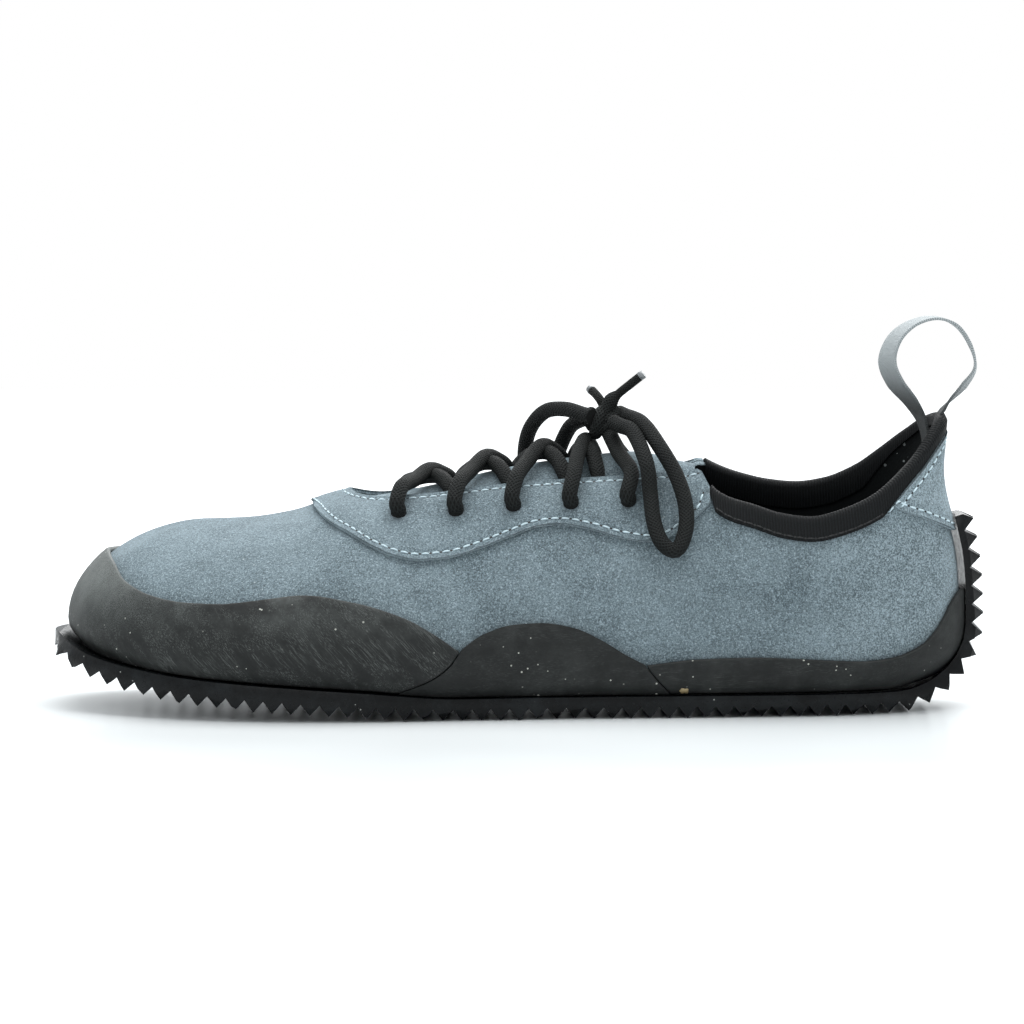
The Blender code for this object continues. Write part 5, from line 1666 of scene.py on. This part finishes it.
def punch(piece):
    """Round eyelet holes through a piece."""
    bm = bmesh.new()
    for i in range(EYELET_COUNT):
        x = EYELET_FIRST_X + i * EYELET_SPACING
        for side in (-1, 1):
            inner = over_stay(x, side, EYELET_INSET, -2 * UPPER_WALL)
            outer = over_stay(x, side, EYELET_INSET, 2 * (CLEARANCE + EYESTAY_THICKNESS))
            turn = (outer - inner).to_track_quat("Z", "Y").to_matrix().to_4x4()
            bmesh.ops.create_cone(
                bm, cap_ends=True, segments=20, depth=(outer - inner).length,
                radius1=EYELET_DIAMETER / 2, radius2=EYELET_DIAMETER / 2,
                matrix=Matrix.Translation((inner + outer) / 2) @ turn,
            )
    mesh = finished_mesh(bm, "eyelet_punch")
    cutter = new_piece("eyelet_punch", mesh)
    hole = piece.modifiers.new("eyelets", "BOOLEAN")
    hole.operation = "DIFFERENCE"
    hole.solver = "EXACT"
    hole.object = cutter
    settled(piece)
    bpy.data.objects.remove(cutter, do_unlink=True)


def trimmed(strips, start, end):
    kept = [list(strip) for strip in strips]
    for here, beside, gap in ((0, 1, start), (-1, -2, end)):
        if gap:
            kept[here] = [p + (q - p).normalized() * gap for p, q in zip(strips[here], strips[beside])]
    return kept


def make_rands():
    half = CLEARANCE / 2
    for name, first, last, turn, scratched in RANDS:
        finish = rand_rubber(name + "_rubber", turn, scratched)
        halves = {}
        for side in (-1, 1):
            strips = band(side, first, last, 0, 1, RAND_STEPS, CLEARANCE)
            halves[side] = trimmed(strips, half if first > 0 else 0, half if last < 100 else 0)
        nodes = {name: (-1, list(halves.values()))}
        if name == "rand_side":
            nodes = {f"{name}_{SIDE_NAME[side]}": (side, [strips]) for side, strips in halves.items()}
        for node, (side, bands) in nodes.items():
            outward = place_on_last((first + last) / 2, side, 0.5)
            piece = skin(node, bands, outward, [finish], RAND_THICKNESS, RUBBER_ROUND)
            dressed(piece, node)


def make_glue():
    """A speck of dried glue low on the outer side."""
    station = station_at(GLUE_X)
    point, normal = place_on_last(station, -1, GLUE_RISE)
    bm = bmesh.new()
    bmesh.ops.create_icosphere(bm, subdivisions=3, radius=1.0)
    for vert in bm.verts:
        ragged = 1 + 0.22 * math.sin(5 * vert.co.x + 2) * math.cos(4 * vert.co.z)
        vert.co = Vector((vert.co.x * 1.3 * ragged, vert.co.y * 0.4, vert.co.z * 0.9 * ragged)) * MM
    turn = normal.to_track_quat("Y", "Z").to_matrix().to_4x4()
    centre = point + normal * (CLEARANCE + RAND_THICKNESS)
    bmesh.ops.transform(bm, matrix=Matrix.Translation(centre) @ turn, verts=bm.verts)
    for face in bm.faces:
        face.smooth = True
    mesh = finished_mesh(bm, "glue_speck")
    piece = new_piece("glue_speck", mesh, dried_glue())
    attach(piece, "root")


def stay_lines():
    """The stay's stitch lines: round its outer edge, and along the throat."""
    front = station_at(STAY_FRONT_X)
    throat = station_at(THROAT_FRONT_X)
    lift = CLEARANCE + EYESTAY_THICKNESS
    halves = []
    for side in (-1, 1):
        lower = inset_edge(side, front, STAY_END, 2, 2.5, lift)
        rear = rear_line(side, STAY_END, 2, 4, REAR_STEPS, lift)
        rear_guide = rear_line(side, STAY_END - 2, 2, 4, REAR_STEPS, lift)
        back = inset_line(rear, rear_guide, STITCH_INSET)
        back = clear_of(back, lower[-1], 0.9 * STITCH_INSET)
        back = clear_of(back, rear[-1], 1.4 * STITCH_INSET)
        lower = clear_of(lower, rear[0], 1.2 * STITCH_INSET)
        top = inset_edge(side, throat, THROAT_END, 4, 3.4, lift)
        halves.append((lower + back, top))
    outer = halves[0][0][::-1] + halves[1][0][1:]
    inner = halves[0][1][::-1] + halves[1][1][1:]
    return outer, inner


def make_eyestay():
    front = station_at(STAY_FRONT_X)
    bands = [
        joined_bands(
            band(side, front, STAY_END, 2, 3, STAY_STEPS + 6, CLEARANCE, close_low),
            band(side, front, STAY_END, 3, 4, STAY_STEPS, CLEARANCE, close_high),
        )
        for side in (-1, 1)
    ]
    finishes = suede_finishes(suede())
    outward = place_on_last(58, -1, 2.5)
    piece = skin("eyestay", bands, outward, finishes, EYESTAY_THICKNESS, EDGE_ROUND, rim=2)
    outer, inner = stay_lines()
    sunk(piece, (outer, inner))
    punch(piece)
    dressed(piece, "eyestay")
    tree = tree_of(piece)
    for name, line in (("stay_outer_stitches", outer), ("stay_throat_stitches", inner)):
        stitched(name, line, tree, pale_thread())


def make_heel_patch():
    gap = 2 * CLEARANCE
    bands = []
    lift = CLEARANCE + PATCH_THICKNESS
    for side in (-1, 1):
        strips = band(side, PATCH_START, 100, 2, 3, 2 * STAY_STEPS, CLEARANCE, close_both)
        shaped = []
        for strip in strips:
            run = strip[-1] - strip[-2]
            if run.length < 1e-7:
                shaped.append(strip)
                continue
            down = -run.normalized()
            stop = strip[-1] + down * gap
            shaped.append([stop if (p - strip[-1]).dot(down) < gap else p for p in strip])
        bands.append(shaped)
    finishes = suede_finishes(suede())
    outward = place_on_last(96, -1, 2.2)
    piece = skin("heel_patch", bands, outward, finishes, PATCH_THICKNESS, EDGE_ROUND, rim=2)
    lows, highs = [], []
    for side in (-1, 1):
        low = inset_edge(side, PATCH_START, 100, 2, 2.5, lift)
        high = inset_edge(side, PATCH_START, 100, 3, 2.5, lift, STITCH_INSET + gap)
        corner = place_on_last(PATCH_START, side, 2)[0]
        lows.append(clear_of(low, corner, 2.4 * MM))
        highs.append(clear_of(high, corner, 3.4 * MM))
    low_line = lows[0] + lows[1][::-1][1:]
    high_line = highs[0] + highs[1][::-1][1:]
    sunk(piece, (low_line, high_line))
    dressed(piece, "heel_patch")
    tree = tree_of(piece)
    for name, line in (("patch_lower_stitches", low_line), ("patch_upper_stitches", high_line)):
        stitched(name, line, tree, pale_thread())


def make_binding():
    """The ribbon folded over the collar."""
    halves = []
    inside = -UPPER_WALL - CLEARANCE
    middle = (CLEARANCE + inside) / 2
    radius = (CLEARANCE - inside) / 2
    for side in (-1, 1):
        strips = []
        for station in [s for s in fine_stations() if s > STAY_END - 1e-6]:
            strip = []
            for step in range(BINDING_STEPS + 1):
                point, normal = place_on_last(station, side, mix(3, 4, step / BINDING_STEPS))
                strip.append(point + normal * CLEARANCE)
            top, normal = place_on_last(station, side, 4)
            below, _ = place_on_last(station, side, 3.8)
            foot, foot_normal = place_on_last(station, side, 3)
            up = (top - below).normalized()
            for turn in (45, 90, 135):
                angle = math.radians(turn)
                out = middle + radius * math.cos(angle)
                high = CLEARANCE + 0.35 * radius * math.sin(angle)
                strip.append(top + normal * out + up * high)
            strip.append(top + normal * inside)
            strip.append(top.lerp(foot, 0.5) + normal * inside)
            strip.append(foot + foot_normal * inside)
            strips.append(strip)
        halves.append(strips)
    outward = place_on_last(84, -1, 3)
    piece = skin("collar_binding", halves, outward, [ribbon()], BINDING_THICKNESS, 0.2 * MM)
    dressed(piece, "collar_binding")
    tree = tree_of(piece)
    lift = CLEARANCE + BINDING_THICKNESS
    for side in (-1, 1):
        line = inset_edge(side, BINDING_START, PATCH_START, 3, 3.5, lift, 0.9 * MM)
        name = f"binding_stitches_{SIDE_NAME[side]}"
        stitched(name, line, tree, black_thread_and_hole_shade(), width=0.5 * MM)


def make_tongue():
    first = THROAT_FRONT_X + 2 * CLEARANCE
    strips = []
    for step in range(TONGUE_ROWS + 1):
        x = mix(first, TONGUE_END_X, step / TONGUE_ROWS)
        round_end = min(1.0, (TONGUE_END_X + TONGUE_END_FLAT - x) / TONGUE_HALF_WIDTH)
        half = TONGUE_HALF_WIDTH * math.sqrt(1 - (1 - round_end) ** 2)
        strip = []
        for i in range(TONGUE_COLUMNS + 1):
            reach = TONGUE_SHIFT + half * mix(-1, 1, i / TONGUE_COLUMNS)
            strip.append(over_last(x, reach, tongue_lift(x, reach)))
        strips.append(strip)
    outward = (strips[TONGUE_ROWS // 2][TONGUE_COLUMNS // 2], Vector((0, 0, 1)))
    finishes = suede_finishes(lining())
    piece = skin("tongue", [strips], outward, finishes, -TONGUE_THICKNESS, EDGE_ROUND, inner=1, rim=1)
    dressed(piece, "tongue")


def make_footbed():
    """The footbed and the studded sheet, from their solids with softened edges."""
    for node, name, finish, edge, slot in (
        ("insole", "footbed", lining(), 0.5 * MM, "lining"),
        ("outsole", "studded_sole", sole_rubber(), 0.26 * MM, "sole_rubber"),
    ):
        bm = bmesh.new()
        bm.from_mesh(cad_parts[node].data)
        bmesh.ops.remove_doubles(bm, verts=bm.verts, dist=0.005 * MM)
        bmesh.ops.dissolve_limit(bm, angle_limit=math.radians(1.5), verts=bm.verts, edges=bm.edges)
        mesh = finished_mesh(bm, name)
        piece = new_piece(name, mesh, finish)
        soft_edge(piece, edge, 2, 25)
        settled(piece)
        dressed(piece, node)


# Laces

def cord_piece(name, route, radii=None, finish=None):
    """A round cord along a smooth line, with a map along and round it."""
    points = even_line(smooth_line(route, 12), CORD_STEP)
    count = len(points)
    bm = bmesh.new()
    layer = bm.loops.layers.uv.new("map")
    up = Vector((0, 0, 1))
    rings = []
    along = 0.0
    beside = None
    for i, point in enumerate(points):
        ahead = (points[min(count - 1, i + 1)] - points[max(0, i - 1)]).normalized()
        if beside is None:
            beside = ahead.cross(up if abs(ahead.z) < 0.9 else Vector((1, 0, 0))).normalized()
        beside = (beside - ahead * beside.dot(ahead)).normalized()
        other = ahead.cross(beside)
        radius = sizes().lace_diameter / 2 * (radii(i / (count - 1)) if radii else 1.0)
        ring = [
            bm.verts.new(point + (beside * math.cos(a) + other * math.sin(a)) * radius)
            for a in ring_angles(CORD_SIDES)
        ]
        if i:
            along += (point - points[i - 1]).length
        rings.append((ring, along))
    around = math.pi * sizes().lace_diameter
    for (a, low), (b, high) in zip(rings, rings[1:]):
        for s in range(CORD_SIDES):
            t = (s + 1) % CORD_SIDES
            face = bm.faces.new((a[s], a[t], b[t], b[s]))
            face.smooth = True
            for loop, uv in zip(face.loops, ((low, s), (low, s + 1), (high, s + 1), (high, s))):
                loop[layer].uv = (uv[0], uv[1] / CORD_SIDES * around)
    bm.faces.new(rings[0][0][::-1])
    bm.faces.new(rings[-1][0])
    bmesh.ops.recalc_face_normals(bm, faces=bm.faces)
    return new_piece(name, finished_mesh(bm, name), finish or lace_cord()), points


def joined_pieces(name, pieces):
    """Several mesh pieces as one object."""
    bm = bmesh.new()
    finishes = []
    for piece in pieces:
        offset = len(finishes)
        finishes.extend(piece.data.materials)
        before = len(bm.faces)
        bm.from_mesh(piece.data)
        bm.faces.ensure_lookup_table()
        for face in bm.faces[before:]:
            face.material_index += offset
    mesh = finished_mesh(bm, name)
    for piece in pieces:
        bpy.data.objects.remove(piece, do_unlink=True)
    return new_piece(name, mesh, *finishes)


def out_of_eyelet(x, side):
    """The lace's way up through its eyelet."""
    return [
        over_stay(x, side, EYELET_INSET, -UPPER_WALL - 1.2 * MM),
        over_stay(x, side, EYELET_INSET, -0.2 * MM),
    ]


def eased(share):
    """The far end of a crossing, drawn thin under the stay."""
    return 1.0 if share < 0.86 else mix(1.0, 0.55, (share - 0.86) / 0.14)


def make_crossings():
    for i in range(EYELET_COUNT):
        x = EYELET_FIRST_X + i * EYELET_SPACING
        if i < EYELET_COUNT - 1:
            run = EYELET_SPACING if i < EYELET_COUNT - 2 else TOP_CROSSING_RUN
            radii = eased
            routes = {}
            for side, upper in ((-1, True), (1, False)):
                end = THROAT_REACH[-side] + 3.5 * MM
                under = over_last(x + 0.99 * run, -side * end, -UPPER_WALL - CLEARANCE)
                routes[side] = [*crossing_route(x, side, upper, run), under]
        else:
            heart = over_last(KNOT_X, 0.0, KNOT_LIFT - 2.2 * MM)
            radii = None
            routes = {side: [*knot_route(x, side)[:4], heart] for side in (-1, 1)}
        halves = [
            cord_piece("lace_half", out_of_eyelet(x, side) + route, radii)[0]
            for side, route in routes.items()
        ]
        dressed(joined_pieces(f"lace_strands_{i + 1}", halves), f"lace_crossing_{i + 1}")


def narrowed(share):
    """The lace's end, drawn together towards its tip."""
    return 1.0 if share < 0.36 else max(0.58, 1.0 - (share - 0.36) * 3.2)


def make_bow():
    """The bow: a wrapped knot, two loops and two ends."""
    centre = over_last(KNOT_X, 0.0, KNOT_LIFT)
    cords = {
        name: [over_shoe(x * MM, side, out * MM, lift * MM) for x, out, lift in rows]
        for name, side, rows in BOW_CORDS
    }
    wrap = []
    for angle in (*ring_angles(12), 2 * math.pi):
        high = math.sin(angle)
        wrap.append(centre + Vector((0.9 * high - 2.4, 3.3 * math.cos(angle), 3.1 * high - 0.6)) * MM)
    knot_parts = [cord_piece("wrap", wrap, lambda _: 0.90)[0]]
    for bar in KNOT_BARS:
        route = [centre + Vector(point) * MM for point in bar]
        knot_parts.append(cord_piece("bar", route, lambda _: 0.86)[0])
    knot = joined_pieces("bow_knot", knot_parts)
    dressed(knot, "lace_knot")
    made = {}
    for name, route in cords.items():
        new_name = name.replace("lace", "bow")
        if "loop" in name:
            pairs = (route[:2], route[:-3:-1])
            ends = [here + (here - beside).normalized() * KNOT_ENTRY for here, beside in pairs]
            piece, points = cord_piece(new_name, [ends[0], *route, ends[1]])
        else:
            heart = centre + Vector((-0.6, -1.4, 0.2)) * MM
            tail, points = cord_piece("lace_tail", [heart, *route], narrowed)
            tip = points[-max(2, len(points) // 8):]
            ahead = (tip[-1] - tip[0]).normalized()
            tube = [tip[0], tip[-1], tip[-1] + ahead * 0.6 * MM]
            cap, _ = cord_piece("aglet", tube, lambda _: 0.60, aglet_plastic())
            piece = joined_pieces(new_name, [tail, cap])
        dressed(piece, name)
        made[name] = (piece, points)
    ends = [knot, made["lace_end_lateral"][0], made["lace_end_medial"][0]]
    for name, goes in (("lace_loop_lateral", ends), ("lace_loop_medial", [])):
        piece, points = made[name]


def make_pull_loop():
    """The ribbon loop, with its ends sewn down inside and outside the heel."""
    heel_top = section(100, -1)
    top = heel_top.share_at_height(HEEL_TOP_HEIGHT)
    edge = heel_top.point(top)
    path = LOOP_PATH + ((-1.0, 0.6, 0), (-1.6, -1.6, 0))
    points = [Vector((edge.x + behind * MM, 0.0, edge.z + above * MM)) for behind, above, _ in path]
    turns = [math.radians(row[2]) for row in path]
    line = smooth_line(points, LOOP_STEPS)
    strips = []
    for i, point in enumerate(line):
        slot = min(len(turns) - 1, i // LOOP_STEPS)
        share = (i % LOOP_STEPS) / LOOP_STEPS
        turn = mix(turns[slot], turns[min(len(turns) - 1, slot + 1)], share)
        ahead = line[min(len(line) - 1, i + 1)] - line[max(0, i - 1)]
        width = Matrix.Rotation(turn, 3, ahead.normalized()) @ Vector((0, 1, 0))
        half = width * LOOP_WIDTH / 2
        strips.append([point + half * mix(-1, 1, k / 8) for k in range(9)])
    bm = bmesh.new()
    layer = bm.loops.layers.uv.new("map")
    add_strips(bm, strips, layer)
    mesh = finished_mesh(bm, "pull_loop_ribbon")
    piece = new_piece("pull_loop_ribbon", mesh, loop_ribbon())
    wall = piece.modifiers.new("ribbon", "SOLIDIFY")
    wall.thickness = LOOP_THICKNESS
    wall.offset = 0.0
    soft_edge(piece, 0.2 * MM, 2, 50)
    settled(piece)
    dressed(piece, "pull_loop")


def make_stage():
    """Pale floor, white surround, soft light from above and the photo's camera."""
    scene = bpy.context.scene
    scene.view_settings.view_transform = "Standard"
    bm = bmesh.new()
    bmesh.ops.create_grid(bm, x_segments=FLOOR_CELLS, y_segments=FLOOR_CELLS, size=FLOOR_HALF)
    mesh = finished_mesh(bm, "floor")

    def build(n, shader):
        place = object_place(n)
        cloud = n.noise(place, 6.0, 2.0)
        n.feed(shader.inputs["Base Color"], n.blend(cloud, (0.72, 0.75, 0.76), (0.75, 0.78, 0.79)))
        n.feed(shader.inputs["Roughness"], n.ramp(cloud, 0.2, 0.8, 0.20, 0.26))
        apart = n.add("ShaderNodeVectorMath", {0: place}, operation="LENGTH").outputs["Value"]
        n.feed(shader.inputs["Emission Color"], (1.0, 1.0, 1.0))
        n.feed(shader.inputs["Emission Strength"], n.ramp(apart, *FLOOR_GLOW))

    floor = new_piece("floor", mesh, material("pale_floor", build))
    world = bpy.data.worlds.new("surround")
    scene.world = world
    world.use_nodes = True
    n = Nodes(world.node_tree)
    sky = world.node_tree.nodes["Background"]
    sky.inputs["Color"].default_value = SKY_COLOUR
    sky.inputs["Strength"].default_value = SKY_STRENGTH
    seen = n.add("ShaderNodeBackground", {"Color": (1.0, 1.0, 1.0), "Strength": SEEN_STRENGTH})
    ray = n.add("ShaderNodeLightPath")
    joined = n.add("ShaderNodeMixShader")
    n.feed(joined.inputs[0], ray.outputs["Is Camera Ray"])
    n.feed(joined.inputs[1], sky.outputs[0])
    n.feed(joined.inputs[2], seen.outputs[0])
    n.feed(world.node_tree.nodes["World Output"].inputs["Surface"], joined.outputs[0])
    for name, place, aim, size, power in LIGHTS:
        light = bpy.data.lights.new(name, "AREA")
        light.shape = "RECTANGLE"
        light.size, light.size_y = size
        light.energy = power
        lamp = bpy.data.objects.new(name, light)
        lamp.location = place
        lamp.rotation_euler = (Vector(aim) - Vector(place)).to_track_quat("-Z", "Y").to_euler()
        scene.collection.objects.link(lamp)
    camera = bpy.data.cameras.new("camera")
    camera.sensor_width = SENSOR_WIDTH
    camera.lens = SENSOR_WIDTH * CAMERA_DISTANCE * PHOTO_SCALE / PHOTO_SIZE
    camera.clip_start, camera.clip_end = CAMERA_CLIP
    holder = bpy.data.objects.new("camera", camera)
    tilt = math.radians(CAMERA_ELEVATION)
    aim = Vector((PHOTO_MIDDLE_X, 0.0, PHOTO_MIDDLE_Z))
    holder.location = aim + Vector((0, -math.cos(tilt), math.sin(tilt))) * CAMERA_DISTANCE
    holder.rotation_euler = (aim - holder.location).to_track_quat("-Z", "Y").to_euler()
    scene.collection.objects.link(holder)
    scene.camera = holder


# Operators and panel

class SHOE_OT_stage(bpy.types.Operator):
    """Makes the floor, the light and the camera"""

    bl_idname = "shoe.stage"
    bl_label = "Stage"

    def execute(self, context):
        make_stage()
        return {"FINISHED"}


class SHOE_OT_laces(bpy.types.Operator):
    """Runs the lace through the eyelets and over the tongue"""

    bl_idname = "shoe.laces"
    bl_label = "Laces"

    def execute(self, context):
        make_crossings()
        return {"FINISHED"}


class SHOE_OT_bow(bpy.types.Operator):
    """Ties the bow with its knot, loops and ends"""

    bl_idname = "shoe.bow"
    bl_label = "Bow"

    def execute(self, context):
        make_bow()
        return {"FINISHED"}


class SHOE_OT_upper(bpy.types.Operator):
    """Makes the hollow suede upper with its lining"""

    bl_idname = "shoe.upper"
    bl_label = "Upper"

    def execute(self, context):
        make_upper()
        return {"FINISHED"}


class SHOE_OT_eyestay(bpy.types.Operator):
    """Makes the stitched lace stay with its eyelets"""

    bl_idname = "shoe.eyestay"
    bl_label = "Lace stay"

    def execute(self, context):
        make_eyestay()
        return {"FINISHED"}


class SHOE_OT_heel_patch(bpy.types.Operator):
    """Makes the stitched suede patch round the heel"""

    bl_idname = "shoe.heel_patch"
    bl_label = "Heel patch"

    def execute(self, context):
        make_heel_patch()
        return {"FINISHED"}


class SHOE_OT_binding(bpy.types.Operator):
    """Folds the ribbed ribbon over the collar"""

    bl_idname = "shoe.binding"
    bl_label = "Collar binding"

    def execute(self, context):
        make_binding()
        return {"FINISHED"}


class SHOE_OT_tongue(bpy.types.Operator):
    """Makes the suede tongue under the lace"""

    bl_idname = "shoe.tongue"
    bl_label = "Tongue"

    def execute(self, context):
        make_tongue()
        return {"FINISHED"}


class SHOE_OT_pull_loop(bpy.types.Operator):
    """Makes the woven pull loop at the heel"""

    bl_idname = "shoe.pull_loop"
    bl_label = "Pull loop"

    def execute(self, context):
        make_pull_loop()
        return {"FINISHED"}


class SHOE_OT_rands(bpy.types.Operator):
    """Makes the sanded rubber round the foot"""

    bl_idname = "shoe.rands"
    bl_label = "Rubber rands"

    def execute(self, context):
        make_rands()
        make_glue()
        return {"FINISHED"}


class SHOE_OT_sole(bpy.types.Operator):
    """Makes the studded sole and the footbed"""

    bl_idname = "shoe.sole"
    bl_label = "Sole and footbed"

    def execute(self, context):
        make_footbed()
        return {"FINISHED"}


STEPS = (
    SHOE_OT_stage,
    SHOE_OT_laces,
    SHOE_OT_bow,
    SHOE_OT_upper,
    SHOE_OT_eyestay,
    SHOE_OT_heel_patch,
    SHOE_OT_binding,
    SHOE_OT_tongue,
    SHOE_OT_pull_loop,
    SHOE_OT_rands,
    SHOE_OT_sole,
)


class SHOE_PT_sidebar(bpy.types.Panel):
    """Sizes, colours and pieces of the shoe"""

    bl_label = "Barefoot shoe"
    bl_idname = "SHOE_PT_sidebar"
    bl_space_type = "VIEW_3D"
    bl_region_type = "UI"
    bl_category = "Shoe"

    def draw(self, context):
        column = self.layout.column()
        for group in (context.scene.shoe_sizes, context.scene.shoe_colours):
            for name in group.bl_rna.properties.keys():
                if name not in ("rna_type", "name"):
                    column.prop(group, name)
        for step in STEPS:
            column.operator(step.bl_idname)


CLASSES = (ShoeSizes, ShoeColours, *STEPS, SHOE_PT_sidebar)


def register():
    for each in CLASSES:
        bpy.utils.register_class(each)
    bpy.types.Scene.shoe_sizes = bpy.props.PointerProperty(type=ShoeSizes)
    bpy.types.Scene.shoe_colours = bpy.props.PointerProperty(type=ShoeColours)


def unregister():
    del bpy.types.Scene.shoe_colours
    del bpy.types.Scene.shoe_sizes
    for each in reversed(CLASSES):
        bpy.utils.unregister_class(each)


def main():
    register()
    for step in STEPS:
        getattr(bpy.ops.shoe, step.bl_idname.split(".")[1])()


if __name__ == "__main__":
    main()
